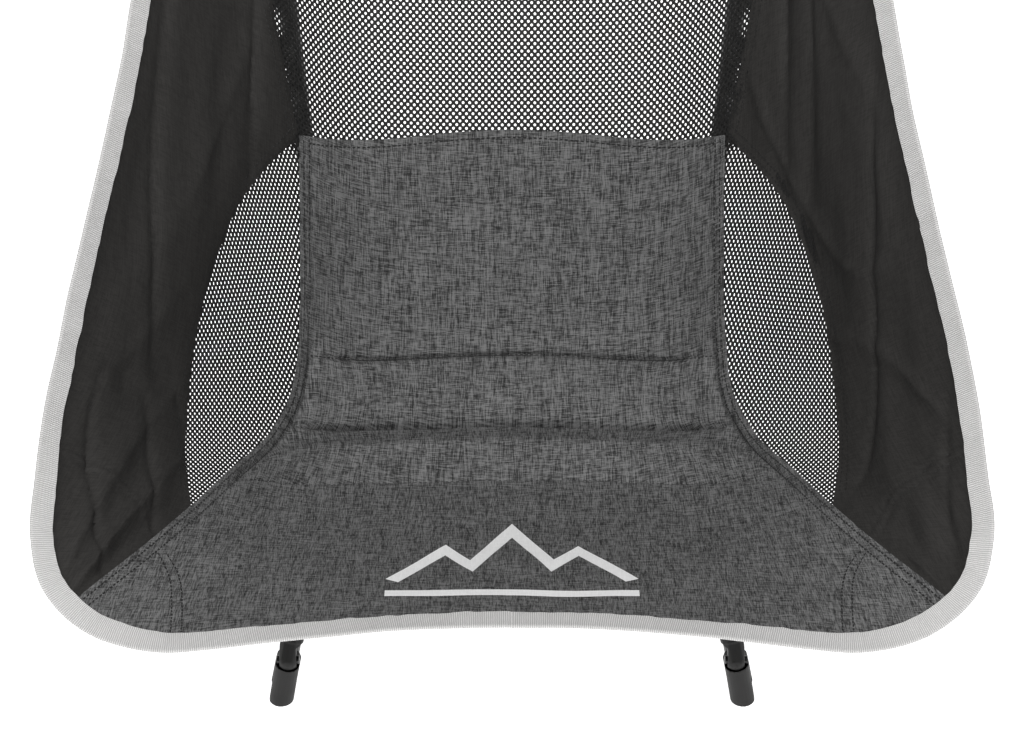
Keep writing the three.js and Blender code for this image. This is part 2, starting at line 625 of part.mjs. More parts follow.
// A closed-ended coil: a round wire swept along a helix by hand, ring after ring.
function strutSpring(top, foot) {
  const stepsPerTurn = 7;
  const wireSides = 4;
  const steps = SPRING.turns * stepsPerTurn;
  const pitch = (SPRING.end - SPRING.start - 2 * SPRING.wire) / steps;
  const vertices = [];
  for (let k = 0; k <= steps; k += 1) {
    const angle = (2 * Math.PI * k) / stepsPerTurn;
    for (let n = 0; n < wireSides; n += 1) {
      const turn = (2 * Math.PI * n) / wireSides;
      const radius = SPRING.radius + SPRING.wire * Math.cos(turn);
      vertices.push(radius * Math.cos(angle), SPRING.start + SPRING.wire + pitch * k + SPRING.wire * Math.sin(turn),
        radius * Math.sin(angle));
    }
  }
  const index = [];
  for (let k = 0; k < steps; k += 1) {
    for (let n = 0; n < wireSides; n += 1) {
      const [a, b] = [k * wireSides + n, k * wireSides + (n + 1) % wireSides];
      index.push(a, b, b + wireSides, a, b + wireSides, a + wireSides);
    }
  }
  for (let n = 1; n < wireSides - 1; n += 1) {
    const last = steps * wireSides;
    index.push(0, n + 1, n, last, last + n, last + n + 1);
  }
  const geometry = new THREE.BufferGeometry();
  geometry.setAttribute('position', new THREE.Float32BufferAttribute(vertices, 3));
  geometry.setIndex(index);
  geometry.applyQuaternion(new THREE.Quaternion().setFromUnitVectors(UP, foot.clone().sub(top).normalize()));
  geometry.translate(top.x, top.y, top.z);
  return weld(geometry);
}

for (const [sideName, side] of [['left', -1], ['right', 1]]) {
  const top = onSide(STRUT_TOP, side);
  const foot = onSide(STRUT_FOOT, side);
  const pivot = onSide(ROCK_PIVOT, side);
  const railFront = onSide(RAIL_FRONT, side);
  const railRear = onSide(RAIL_REAR, side);
  const railLength = railFront.distanceTo(railRear);
  add(`front_shoe_${sideName}`, frontShoe(side), BLACK_NYLON);
  add(`rear_foot_${sideName}`, rearFoot(side), BLACK_NYLON);
  add(`ground_rail_${sideName}`,
    tube(railFront, railRear, 3, railLength - 4, RAIL_RADIUS, RAIL_RADIUS - RAIL_WALL), BLACK_TUBE);
  const earReach = earOffset + EAR_THICKNESS / 2;
  add(`rock_pin_${sideName}`, drum(pivot, PIN_RADIUS, 2 * BOOT_RADIUS - 1.6), BRIGHT_STEEL);
  add(`strut_foot_pin_${sideName}`, pin(foot, earReach, side), BRIGHT_STEEL);
  add(`strut_top_pin_${sideName}`, pin(top, earReach, side), BRIGHT_STEEL);
  add(`strut_yoke_${sideName}`, strutYoke(top, foot), BLACK_NYLON);
  add(`strut_tube_${sideName}`,
    tube(top, foot, STRUT_TUBE.start, STRUT_TUBE.end, STRUT_OUTER, STRUT_BORE), BLACK_TUBE);
  add(`strut_spring_${sideName}`, strutSpring(top, foot), BRIGHT_STEEL);
  add(`strut_rod_${sideName}`, strutRod(top, foot), BRIGHT_STEEL);
  add(`strut_gland_${sideName}`,
    turned([[ROD_RADIUS + FIT_GAP, GLAND.start], [STRUT_BORE - FIT_GAP, GLAND.start],
      [STRUT_BORE - FIT_GAP, GLAND.flange], [STRUT_OUTER + 0.8, GLAND.flange], [STRUT_OUTER + 0.8, GLAND.end],
      [ROD_RADIUS + FIT_GAP, GLAND.end], [ROD_RADIUS + FIT_GAP, GLAND.start]], top, foot), BLACK_NYLON);
}

const crossEnd = STRUT_FOOT.x - earOffset - EAR_THICKNESS / 2 - 3;
add('rear_cross_rail', tube(new THREE.Vector3(0, CROSS_RAIL_Y, CROSS_RAIL_Z),
  new THREE.Vector3(1, CROSS_RAIL_Y, CROSS_RAIL_Z), -crossEnd, crossEnd, RAIL_RADIUS, RAIL_RADIUS - RAIL_WALL),
BLACK_TUBE);

export default chair;
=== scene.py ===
"""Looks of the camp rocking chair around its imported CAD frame.

Metres, +Z up, the sitter faces -Y and "left" is the -X side. The sling is one surface of two
parameters: u runs across it from -1 to 1, s runs from the front of the seat (0) to the top (1).
"""

from __future__ import annotations

import json
import logging
import math
from collections.abc import Callable
from dataclasses import dataclass
from enum import Enum

import bmesh
import bpy
import numpy as np
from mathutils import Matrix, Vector

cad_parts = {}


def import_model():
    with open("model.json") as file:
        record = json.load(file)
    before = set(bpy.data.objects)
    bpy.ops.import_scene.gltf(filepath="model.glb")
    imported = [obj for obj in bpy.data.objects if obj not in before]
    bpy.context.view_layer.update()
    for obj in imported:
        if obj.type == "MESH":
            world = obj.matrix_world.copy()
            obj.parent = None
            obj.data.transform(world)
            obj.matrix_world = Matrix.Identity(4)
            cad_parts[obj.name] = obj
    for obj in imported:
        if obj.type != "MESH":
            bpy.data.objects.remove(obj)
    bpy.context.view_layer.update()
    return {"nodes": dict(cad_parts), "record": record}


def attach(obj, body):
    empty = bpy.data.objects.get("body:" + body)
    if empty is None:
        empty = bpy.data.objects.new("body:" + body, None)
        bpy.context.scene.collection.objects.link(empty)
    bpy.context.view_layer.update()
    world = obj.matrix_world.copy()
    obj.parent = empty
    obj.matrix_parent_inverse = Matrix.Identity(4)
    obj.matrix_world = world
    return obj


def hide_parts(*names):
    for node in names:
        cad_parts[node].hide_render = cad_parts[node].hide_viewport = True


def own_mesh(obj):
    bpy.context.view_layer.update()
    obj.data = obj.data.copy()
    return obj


Array = np.ndarray
log = logging.getLogger("camp_chair")

SIDES = (("left", -1.0), ("right", 1.0))
ROCKER = "rocking_frame"
TUBE_ENDINGS = ("pole_lower", "pole_upper", "ferrule", "rail", "crossbar", "front_leg", "strut_tube")


class Slot(Enum):
    """The record's material slots."""

    MELANGE = "melange_cloth"
    BLACK_CLOTH = "black_cloth"
    BLACK_MESH = "black_mesh"
    WEBBING = "grey_webbing"
    FOAM = "foam"
    TUBE = "black_tube"
    NYLON = "black_nylon"
    STEEL = "steel"


# ---- number work -----------------------------------------------------------------------------


def spline(points: Array, t: Array) -> Array:
    """Uniform Catmull-Rom curve whose ends are reflected, so it runs on past 0 and 1.

    Args:
        points: control points, one row each.
        t: places along the curve, 0 at the first point and 1 at the last.

    Returns:
        One point for each place, in a last axis.
    """
    spans = len(points) - 1
    padded = np.vstack([2 * points[0] - points[1], points, 2 * points[-1] - points[-2]])
    t = np.asarray(t, float)
    first = np.clip(np.floor(t * spans).astype(int), 0, spans - 1)
    f = (t * spans - first)[..., None]
    a, b, c, d = (padded[first + k] for k in range(4))
    return 0.5 * (2 * b + (c - a) * f + (2 * a - 5 * b + 4 * c - d) * f**2 + (3 * b - a - 3 * c + d) * f**3)


def through(keys: Array, values: Array, x: Array) -> Array:
    """Smooth curve through unevenly spaced values: cubic Hermite pieces with weighted slopes.

    Args:
        keys: rising places.
        values: the value at each place, or a row of values.
        x: where to read the curve.

    Returns:
        The values at x.
    """
    keys, values = np.asarray(keys, float), np.asarray(values, float)
    if values.ndim == 1:
        return through(keys, values[:, None], x)[..., 0]
    h = np.diff(keys)[:, None]
    d = np.diff(values, axis=0) / h
    slopes = np.vstack([d[:1], (d[:-1] * h[1:] + d[1:] * h[:-1]) / (h[1:] + h[:-1]), d[-1:]])
    x = np.asarray(x, float)
    i = np.clip(np.searchsorted(keys, x) - 1, 0, len(keys) - 2)
    w = h[i]
    f = np.clip((x - keys[i]) / w[..., 0], 0, 1)[..., None]
    return (
        values[i] * (2 * f**3 - 3 * f**2 + 1)
        + values[i + 1] * (3 * f**2 - 2 * f**3)
        + w * (slopes[i] * (f**3 - 2 * f**2 + f) + slopes[i + 1] * (f**3 - f**2))
    )


def unit(vectors: Array) -> Array:
    """The vectors at length one."""
    return vectors / np.maximum(np.linalg.norm(vectors, axis=-1, keepdims=True), 1e-12)


def run_length(line: Array) -> Array:
    """Distance along a line of points, 0 at the first."""
    return np.concatenate([[0], np.cumsum(np.linalg.norm(np.diff(line, axis=0), axis=1))])


def soft_noise(x: Array, y: Array, seed: int) -> Array:
    """Smooth value noise from -1 to 1: random heights on a unit grid, joined by smoothsteps.

    Args:
        x: first coordinate, in grid cells.
        y: second coordinate, in grid cells.
        seed: picks the grid of random heights.

    Returns:
        The noise at each place.
    """
    size = 64
    heights = np.random.default_rng(seed).uniform(-1, 1, (size, size))
    i, j = np.floor(x).astype(int), np.floor(y).astype(int)
    fx, fy = x - i, y - j
    fx, fy = fx * fx * (3 - 2 * fx), fy * fy * (3 - 2 * fy)
    corner = [[heights[(i + a) % size, (j + b) % size] for b in (0, 1)] for a in (0, 1)]
    near = corner[0][0] * (1 - fy) + corner[0][1] * fy
    far = corner[1][0] * (1 - fy) + corner[1][1] * fy
    return near * (1 - fx) + far * fx


def bump_line(distance: Array, width: float) -> Array:
    """1 on a line and falling off as a bell of that half width."""
    return np.exp(-((distance / width) ** 2))


# ---- meshes ----------------------------------------------------------------------------------


def make_object(name: str, points: Array, faces: list[Array], uv: Array | None = None) -> bpy.types.Object:
    """A mesh object from arrays.

    Args:
        name: the piece's name.
        points: vertices, one row each.
        faces: arrays of vertex numbers, one row a face, one array for each number of corners.
        uv: one pair for each vertex, in metres of cloth.

    Returns:
        The new object, at the origin.
    """
    mesh = bpy.data.meshes.new(name)
    corners = np.concatenate([f.ravel() for f in faces]).astype(np.int32)
    sizes = np.concatenate([np.full(len(f), f.shape[1]) for f in faces])
    mesh.vertices.add(len(points))
    mesh.vertices.foreach_set("co", np.asarray(points, np.float32).ravel())
    mesh.loops.add(len(corners))
    mesh.loops.foreach_set("vertex_index", corners)
    mesh.polygons.add(len(sizes))
    mesh.polygons.foreach_set("loop_start", np.concatenate([[0], np.cumsum(sizes)[:-1]]).astype(np.int32))
    mesh.polygons.foreach_set("use_smooth", np.ones(len(sizes), bool))
    mesh.update(calc_edges=True)
    if uv is not None:
        layer = mesh.uv_layers.new(name="cloth")
        layer.data.foreach_set("uv", uv[corners].astype(np.float32).ravel())
    mesh.set_sharp_from_angle(angle=math.radians(50))
    obj = bpy.data.objects.new(name, mesh)
    bpy.context.scene.collection.objects.link(obj)
    return obj


def grid_faces(rows: int, columns: int, closed: bool = False) -> Array:
    """Quads of a grid of vertices, whose columns wrap round when it is closed.

    Args:
        rows: how many rows of vertices there are.
        columns: how many vertices a row has.
        closed: whether each row's end joins its start.

    Returns:
        Vertex numbers, one row a quad.
    """
    wrap = columns if closed else columns - 1
    j, i = np.meshgrid(np.arange(rows - 1), np.arange(wrap), indexing="ij")
    near, far = j * columns + i, j * columns + (i + 1) % columns
    return np.stack([near, far, far + columns, near + columns], -1).reshape(-1, 4)


def slab(name: str, top: Array, bottom: Array, uv: Array) -> bpy.types.Object:
    """A closed sheet between two grids of points, with a strip of faces round its border.

    Args:
        name: the piece's name.
        top: grid of points on the side that faces the sitter.
        bottom: the same grid under it.
        uv: pair for each grid point, in metres of cloth.

    Returns:
        The new object.
    """
    rows, columns = top.shape[:2]
    count = rows * columns
    face = grid_faces(rows, columns)
    number = np.arange(count).reshape(rows, columns)
    border = np.concatenate([number[0, :-1], number[:-1, -1], number[-1, :0:-1], number[:0:-1, 0]])
    following = np.roll(border, -1)
    wall = np.stack([following, border, border + count, following + count], -1)
    points = np.concatenate([top.reshape(-1, 3), bottom.reshape(-1, 3)])
    both_sides = np.tile(uv.reshape(-1, 2), (2, 1))
    return make_object(name, points, [face, face[:, ::-1] + count, wall], both_sides)


def swept(
    name: str, centres: Array, side: Array, up: Array, profile: Array, uv_length: Array
) -> bpy.types.Object:
    """A closed profile carried along a closed path.

    Args:
        name: the piece's name.
        centres: the path's points.
        side: unit vector for the profile's first number at each point.
        up: unit vector for the profile's second number at each point.
        profile: the section's points, as pairs, or one such list for each path point.
        uv_length: distance along the path at each point.

    Returns:
        The new object.
    """
    sections = np.broadcast_to(profile, (len(centres), *profile.shape[-2:]))
    rings = centres[:, None] + side[:, None] * sections[..., :1] + up[:, None] * sections[..., 1:]
    loop = np.concatenate([rings, rings[:1]])
    rows, columns = loop.shape[:2]
    around = run_length(rings[0])
    along = np.append(uv_length, 2 * uv_length[-1] - uv_length[-2])
    uv = np.stack(np.meshgrid(along, around, indexing="ij"), -1).reshape(-1, 2)
    obj = make_object(name, loop.reshape(-1, 3), [grid_faces(rows, columns, closed=True)], uv)
    return merged(obj)


def capped_tube(name: str, rings: Array, mapped: bool = False) -> bpy.types.Object:
    """A closed tube through rings of points, with a fan of faces over each end.

    Args:
        name: the piece's name.
        rings: the points, one row for each ring.
        mapped: whether it gets a map of its x and z, for cloth.

    Returns:
        The new object.
    """
    rows, columns = rings.shape[:2]
    count = rows * columns
    points = np.concatenate([rings.reshape(-1, 3), rings[[0, -1]].mean(axis=1)])
    i = np.arange(columns)
    j = (i + 1) % columns
    last = count - columns
    first_fan = np.stack([np.full(columns, count), j, i], -1)
    last_fan = np.stack([np.full(columns, count + 1), last + i, last + j], -1)
    faces = [grid_faces(rows, columns, closed=True), first_fan, last_fan]
    return merged(make_object(name, points, faces, points[:, [0, 2]] if mapped else None))


def merged(obj: bpy.types.Object, distance: float = 1e-6) -> bpy.types.Object:
    """Joins doubled vertices and turns every face outwards.

    Args:
        obj: the piece.
        distance: how near two vertices are joined, in metres.

    Returns:
        The piece.
    """
    work = bmesh.new()
    work.from_mesh(obj.data)
    bmesh.ops.remove_doubles(work, verts=work.verts, dist=distance)
    bmesh.ops.dissolve_degenerate(work, dist=distance, edges=work.edges)
    bmesh.ops.recalc_face_normals(work, faces=work.faces)
    work.to_mesh(obj.data)
    work.free()
    return obj


def settle(
    obj: bpy.types.Object, body: str, material: bpy.types.Material, slot: Slot, *nodes: str
) -> bpy.types.Object:
    """Dresses a piece, sets it on its body and hides the CAD nodes it stands for.

    Args:
        obj: the piece.
        body: the body it rides on.
        material: the finish.
        slot: not used.
        nodes: the CAD nodes it stands for.

    Returns:
        The piece.
    """
    obj.data.materials.clear()
    obj.data.materials.append(material)
    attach(obj, body)
    if nodes:
        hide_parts(*nodes)
    log.info("%s: %d faces", obj.name, len(obj.data.polygons))
    return obj


# ---- the sling's surface ---------------------------------------------------------------------


@dataclass(frozen=True)
class Sling:
    """The stretched surface: the middle line, raised towards the edge line on both sides.

    A point's x is u times the edge's x. Its y and z go from the middle line to the edge line by a
    share that stays near 0 inside the knee and then climbs, which gives the bucket its flat floor.
    """

    edge: Array
    middle: Array
    knee: float = 0.4
    softness: float = 0.1
    power: float = 1.35

    def rise(self, u: Array) -> Array:
        """The share of the way from the middle line to the edge line.

        Args:
            u: places across the sling.

        Returns:
            Shares from 0 at the middle line to 1 at the edge line.
        """

        def soft(x: Array | float) -> Array | float:
            """A ramp that starts smoothly at the knee."""
            return self.softness * np.log1p(np.exp((x - self.knee) / self.softness))

        share = (soft(np.abs(u)) - soft(0.0)) / (soft(1.0) - soft(0.0))
        return np.maximum(share, 0) ** self.power

    def point(self, u: Array, s: Array) -> Array:
        """Points of the surface.

        Args:
            u: places across the sling.
            s: places up the sling.

        Returns:
            One point for each pair of places.
        """
        u, s = np.broadcast_arrays(np.asarray(u, float), np.asarray(s, float))
        edge, middle = spline(self.edge, s), spline(self.middle, s)
        share = self.rise(u)
        y = middle[..., 1] + (edge[..., 1] - middle[..., 1]) * share
        z = middle[..., 2] + (edge[..., 2] - middle[..., 2]) * share
        return np.stack([edge[..., 0] * u, y, z], -1)

    def partials(self, u: Array, s: Array) -> tuple[Array, Array]:
        """The surface's rates of change along u and along s.

        Args:
            u: places across the sling.
            s: places up the sling.

        Returns:
            The two vectors for each pair of places.
        """
        step = 1e-3
        across = (self.point(u + step, s) - self.point(u - step, s)) / (2 * step)
        upward = (self.point(u, s + step) - self.point(u, s - step)) / (2 * step)
        return across, upward

    def normal(self, u: Array, s: Array) -> Array:
        """Unit normals on the sitter's side."""
        return unit(np.cross(*self.partials(u, s)))

    def off(self, u: Array, s: Array, height: Array | float) -> Array:
        """Points at a height above the surface, on the sitter's side."""
        return self.point(u, s) + self.normal(u, s) * np.asarray(height)[..., None]

    def beside(self, u: Array, s: Array, distance: float) -> tuple[Array, Array]:
        """A line on the surface, moved sideways to the left of its direction of travel.

        Args:
            u: the line's u.
            s: the line's s.
            distance: how far it moves, in metres.

        Returns:
            The moved line's u and s.
        """
        travel = unit(np.gradient(self.point(u, s), axis=0))
        return self.moved(u, s, unit(np.cross(self.normal(u, s), travel)) * distance)

    def moved(self, u: Array, s: Array, shift: Array) -> tuple[Array, Array]:
        """Places moved by small vectors: the least-squares mix of the two partials, by Cramer's rule.

        Args:
            u: places across the sling.
            s: places up the sling.
            shift: small vectors, in metres.

        Returns:
            The new u and s.
        """
        pu, ps = self.partials(u, s)
        e, f, g = (pu * pu).sum(-1), (pu * ps).sum(-1), (ps * ps).sum(-1)
        a, b = (shift * pu).sum(-1), (shift * ps).sum(-1)
        det = e * g - f * f
        return u + (a * g - b * f) / det, s + (b * e - a * f) / det

    def nearest(self, targets: Array, u: Array, s: Array) -> tuple[Array, Array]:
        """The surface's places nearest to the targets, by twelve Gauss-Newton steps from a guess.

        Args:
            targets: points in space.
            u: places across the sling.
            s: places up the sling.

        Returns:
            The nearest places' u and s.
        """
        for _ in range(12):
            u, s = self.moved(u, s, targets - self.point(u, s))
        return u, s

    def across(self, u: Array, s: Array) -> Array:
        """Signed length of cloth from the middle line, by the mean of sixteen samples of |dP/du|.

        Args:
            u: places across the sling.
            s: places up the sling.

        Returns:
            Lengths in metres, negative on the left.
        """
        shares = (np.arange(16) + 0.5) / 16
        samples = self.partials(u[..., None] * shares, np.broadcast_to(s[..., None], (*u.shape, 16)))[0]
        return u * np.linalg.norm(samples, axis=-1).mean(-1)

    def upward(self, s: Array) -> Array:
        """Length of cloth along the middle line from s = 0.

        Args:
            s: places up the sling.

        Returns:
            Lengths in metres.
        """
        fine = np.linspace(-0.05, 1.05, 600)
        total = run_length(self.point(np.zeros_like(fine), fine))
        return np.interp(s, fine, total) - np.interp(0.0, fine, total)

    def cloth_map(self, u: Array, s: Array) -> Array:
        """The place on the cloth laid flat, in metres."""
        return np.stack([self.across(u, s), self.upward(s)], -1)

    def from_cloth(self, x: Array, v: Array) -> tuple[Array, Array]:
        """The u and s of a place on the cloth laid flat: s by table, u by five Newton steps.

        Args:
            x: places across the flat cloth, in metres.
            v: places up the flat cloth, in metres.

        Returns:
            The places' u and s.
        """
        fine = np.linspace(-0.05, 1.05, 600)
        s = np.interp(v, self.upward(fine), fine)
        u = x / 0.3
        for _ in range(5):
            u = u - (self.across(u, s) - x) / np.linalg.norm(self.partials(u, s)[0], axis=-1)
        return u, s


SLING = Sling(
    edge=np.array([
        (0.290, -0.322, 0.318), (0.293, -0.267, 0.349), (0.291, -0.207, 0.386), (0.282, -0.147, 0.424),
        (0.267, -0.082, 0.470), (0.250, -0.007, 0.528), (0.234, 0.078, 0.598), (0.219, 0.178, 0.694),
        (0.206, 0.290, 0.812),
    ]),
    middle=np.array([
        (0, -0.277, 0.305), (0, -0.182, 0.270), (0, -0.092, 0.238), (0, -0.012, 0.224), (0, 0.058, 0.250),
        (0, 0.108, 0.330), (0, 0.158, 0.450), (0, 0.218, 0.605), (0, 0.280, 0.792),
    ]),
)

# seams of the right half, as pairs of s and u
HEM = np.array([
    (-0.004, 0), (-0.005, 0.12), (-0.010, 0.25), (-0.018, 0.38), (-0.023, 0.52), (-0.024, 0.64),
    (-0.020, 0.72), (0.001, 0.82), (0.022, 0.88), (0.050, 0.93), (0.088, 0.972), (0.150, 1.0),
])
SEAT_SEAM = np.array([
    (0.020, 1.010), (0.065, 0.926), (0.147, 0.792), (0.223, 0.705), (0.299, 0.640), (0.378, 0.575),
    (0.439, 0.547), (0.508, 0.550), (0.606, 0.574), (0.669, 0.593),
])
CRESCENT_SEAM = np.array([
    (0.223, 0.705), (0.307, 0.738), (0.377, 0.752), (0.438, 0.761), (0.504, 0.760), (0.546, 0.746),
    (0.597, 0.714), (0.633, 0.665), (0.669, 0.593),
])
BACK_SEAM = np.array([
    (0.669, 0.593), (0.719, 0.652), (0.760, 0.700), (0.820, 0.740), (0.900, 0.760), (1.0, 0.770),
])
# metres of cloth for one unit of u and of s, near enough for widths of folds and seams
ACROSS = 0.27
UPWARD = 0.85
# the two rows of stitches along a pocket's arc lie this far apart
ROW_GAP = 0.0065
SEAT_TOP = 0.694
HEAD_FOOT = 0.93


def seam_u(seam: Array, s: Array) -> Array:
    """A seam's u at each s."""
    return through(seam[:, 0], seam[:, 1], s)


def panel_top(u: Array) -> Array:
    """The bowed top edge of the seat panel: s falls off with the square of u."""
    return SEAT_TOP - (SEAT_TOP - SEAT_SEAM[-1, 0]) * (u / SEAT_SEAM[-1, 1]) ** 2


def rim(count: int = 560) -> tuple[Array, Array]:
    """The right half of the sling's rim, evenly spaced from the front's middle to the top's middle.

    Args:
        count: how many places it gives.

    Returns:
        The rim's u and s.
    """
    side = np.linspace(0.22, 0.94, 9)
    keys = np.concatenate([
        HEM[:, ::-1],
        np.stack([np.ones(9), side], -1),
        [(0.996, 0.972), (0.978, 0.992), (0.94, 0.999), (0.85, 1.0), (0.6, 1.0), (0.3, 1.0), (0.0, 1.0)],
    ])
    chord = run_length(SLING.point(*keys.T))
    line = through(chord, keys, np.linspace(0, chord[-1], count))
    return line[:, 0], line[:, 1]


# ---- node trees ------------------------------------------------------------------------------


class Graph:
    """Adds and joins the nodes of one shader tree."""

    def __init__(self, tree: bpy.types.NodeTree) -> None:
        """Keeps the tree."""
        self.tree = tree

    def node(self, kind: str, **settings: object) -> bpy.types.Node:
        """A new node with its settings.

        Args:
            kind: the node's type.
            settings: the node's properties.

        Returns:
            The node.
        """
        made = self.tree.nodes.new(kind)
        for name, value in settings.items():
            setattr(made, name, value)
        return made

    def feed(self, socket: bpy.types.NodeSocket, value: object) -> None:
        """Links a socket to another, or sets its number or colour.

        Args:
            socket: the socket.
            value: a socket, a number or a colour.
        """
        if isinstance(value, bpy.types.NodeSocket):
            self.tree.links.new(value, socket)
        else:
            socket.default_value = value

    def math(self, operation: str, *values: object, clamp: bool = False) -> bpy.types.NodeSocket:
        """A Math node's result.

        Args:
            operation: the sum to do.
            values: sockets or numbers.
            clamp: whether the result stays from 0 to 1.

        Returns:
            The result's socket.
        """
        made = self.node("ShaderNodeMath", operation=operation, use_clamp=clamp)
        for socket, value in zip(made.inputs, values):
            self.feed(socket, value)
        return made.outputs[0]

    def noise(
        self, vector: object, scale: object, detail: float = 2.0, rough: float = 0.5
    ) -> bpy.types.NodeSocket:
        """A noise texture's grey value.

        Args:
            vector: the coordinate that places it.
            scale: how fine it is, in cells to a metre.
            detail: how many finer layers it has.
            rough: how strong the finer layers are.

        Returns:
            The grey value's socket.
        """
        made = self.node("ShaderNodeTexNoise")
        for name, value in (("Vector", vector), ("Scale", scale), ("Detail", detail), ("Roughness", rough)):
            self.feed(made.inputs[name], value)
        return made.outputs["Fac"]

    def stretch(self, vector: object, scale: tuple[float, float, float]) -> bpy.types.NodeSocket:
        """The vector, scaled on each axis and moved off the noise lattice's planes.

        Args:
            vector: the coordinate.
            scale: how much it is drawn out on each axis.

        Returns:
            The stretched coordinate's socket.
        """
        made = self.node("ShaderNodeMapping")
        self.feed(made.inputs["Location"], (0.37, 0.61, 0.48))
        self.feed(made.inputs["Vector"], vector)
        self.feed(made.inputs["Scale"], scale)
        return made.outputs[0]

    def mix(self, factor: object, first: object, second: object) -> bpy.types.NodeSocket:
        """A blend of two colours.

        Args:
            factor: the share of the second.
            first: the colour at 0.
            second: the colour at 1.

        Returns:
            The colour's socket.
        """
        made = self.node("ShaderNodeMix", data_type="RGBA")
        for socket, value in (("Factor", factor), (6, first), (7, second)):
            self.feed(made.inputs[socket], value)
        return made.outputs[2]

    def spread(
        self, value: object, low: float, high: float, to_low: float, to_high: float
    ) -> bpy.types.NodeSocket:
        """A value carried from one range to another and held inside it.

        Args:
            value: the number to carry over.
            low: the range's lower end.
            high: the range's upper end.
            to_low: what the lower end becomes.
            to_high: what the upper end becomes.

        Returns:
            The result's socket.
        """
        made = self.node("ShaderNodeMapRange", clamp=True)
        for socket, number in zip(made.inputs, (value, low, high, to_low, to_high)):
            self.feed(socket, number)
        return made.outputs[0]


def new_group(
    name: str, inputs: dict[str, str], outputs: dict[str, str]
) -> tuple[Graph, dict[str, bpy.types.NodeSocket], bpy.types.Node]:
    """An empty shader group with named sockets.

    Args:
        name: the group's name.
        inputs: socket types by name.
        outputs: socket types by name.

    Returns:
        The group's graph, its input sockets by name, and its output node.
    """
    tree = bpy.data.node_groups.new(name, "ShaderNodeTree")
    for side, sockets in (("INPUT", inputs), ("OUTPUT", outputs)):
        for socket, kind in sockets.items():
            tree.interface.new_socket(socket, in_out=side, socket_type="NodeSocket" + kind)
    graph = Graph(tree)
    start, end = graph.node("NodeGroupInput"), graph.node("NodeGroupOutput")
    return graph, {name: start.outputs[name] for name in inputs}, end


class Patterns:
    """The shader groups that the finishes share, each made once."""

    def __init__(self) -> None:
        """Makes every group."""
        self.heather = self._heather()
        self.weave = self._weave()
        self.ribs = self._ribs()
        self.grain = self._grain()

    def _heather(self) -> bpy.types.NodeTree:
        """Light and dark yarns crossing: thin noise streaks along both directions of the cloth.

        Returns:
            The group's tree.
        """
        tones = {"Tone": "Float", "Blotch": "Float"}
        graph, given, end = new_group("heather_yarns", {"Vector": "Vector"}, tones)
        flat = given["Vector"]
        weft = graph.noise(graph.stretch(flat, (150.0, 1750.0, 1.0)), 1.0, 2.0, 0.6)
        warp = graph.noise(graph.stretch(flat, (1800.0, 130.0, 1.0)), 1.0, 2.0, 0.6)
        slub = graph.noise(graph.stretch(flat, (420.0, 30.0, 1.0)), 1.0, 1.0, 0.5)
        crossing = graph.math("MULTIPLY_ADD", weft, 0.44, graph.math("MULTIPLY", warp, 0.46))
        tone = graph.math("MULTIPLY_ADD", slub, 0.10, crossing)
        graph.feed(end.inputs["Tone"], graph.spread(tone, 0.42, 0.58, 0.0, 1.0))
        graph.feed(end.inputs["Blotch"], graph.noise(flat, 26.0, 2.0, 0.5))
        return graph.tree

    def _weave(self) -> bpy.types.NodeTree:
        """Plain weave: a product of two sines, one yarn over the next.

        Returns:
            The group's tree.
        """
        graph, given, end = new_group(
            "plain_weave", {"Vector": "Vector", "Yarns per metre": "Float"}, {"Height": "Float"}
        )
        split = graph.node("ShaderNodeSeparateXYZ")
        graph.feed(split.inputs[0], given["Vector"])
        turns = graph.math("MULTIPLY", given["Yarns per metre"], math.pi)
        waves = [graph.math("SINE", graph.math("MULTIPLY", split.outputs[k], turns)) for k in (0, 1)]
        height = graph.math("MULTIPLY_ADD", graph.math("MULTIPLY", *waves), 0.5, 0.5)
        graph.feed(end.inputs["Height"], height)
        return graph.tree

    def _ribs(self) -> bpy.types.NodeTree:
        """Ribs across a tape: a sine of the distance along it, with a woven selvedge noise.

        Returns:
            The group's tree.
        """
        graph, given, end = new_group(
            "tape_ribs", {"Vector": "Vector", "Pitch": "Float"}, {"Height": "Float", "Tone": "Float"}
        )
        split = graph.node("ShaderNodeSeparateXYZ")
        graph.feed(split.inputs[0], given["Vector"])
        wobble = graph.noise(graph.stretch(given["Vector"], (60.0, 500.0, 1.0)), 1.0)
        place = graph.math("MULTIPLY_ADD", wobble, 0.0006, split.outputs[0])
        turns = graph.math("MULTIPLY", graph.math("DIVIDE", place, given["Pitch"]), 2 * math.pi)
        rib = graph.math("MULTIPLY_ADD", graph.math("SINE", turns), 0.5, 0.5)
        graph.feed(end.inputs["Height"], rib)
        yarns = graph.stretch(given["Vector"], (900.0, 120.0, 1.0))
        graph.feed(end.inputs["Tone"], graph.noise(yarns, 1.0, 2.0, 0.6))
        return graph.tree

    def _grain(self) -> bpy.types.NodeTree:
        """Fine surface grain with rubbed edges: small noise, a broad noise and the mesh's pointiness.

        Returns:
            The group's tree.
        """
        masks = {"Height": "Float", "Patches": "Float", "Wear": "Float"}
        graph, given, end = new_group("grain_and_wear", {"Vector": "Vector", "Scale": "Float"}, masks)
        graph.feed(end.inputs["Height"], graph.noise(given["Vector"], given["Scale"], 4.0))
        patches = graph.noise(given["Vector"], 38.0, 3.0, 0.55)
        graph.feed(end.inputs["Patches"], patches)
        pointed = graph.node("ShaderNodeNewGeometry").outputs["Pointiness"]
        edges = graph.spread(pointed, 0.52, 0.60, 0.0, 1.0)
        rubbed = graph.spread(patches, 0.45, 0.7, 0.0, 1.0)
        graph.feed(end.inputs["Wear"], graph.math("MULTIPLY", edges, rubbed))
        return graph.tree


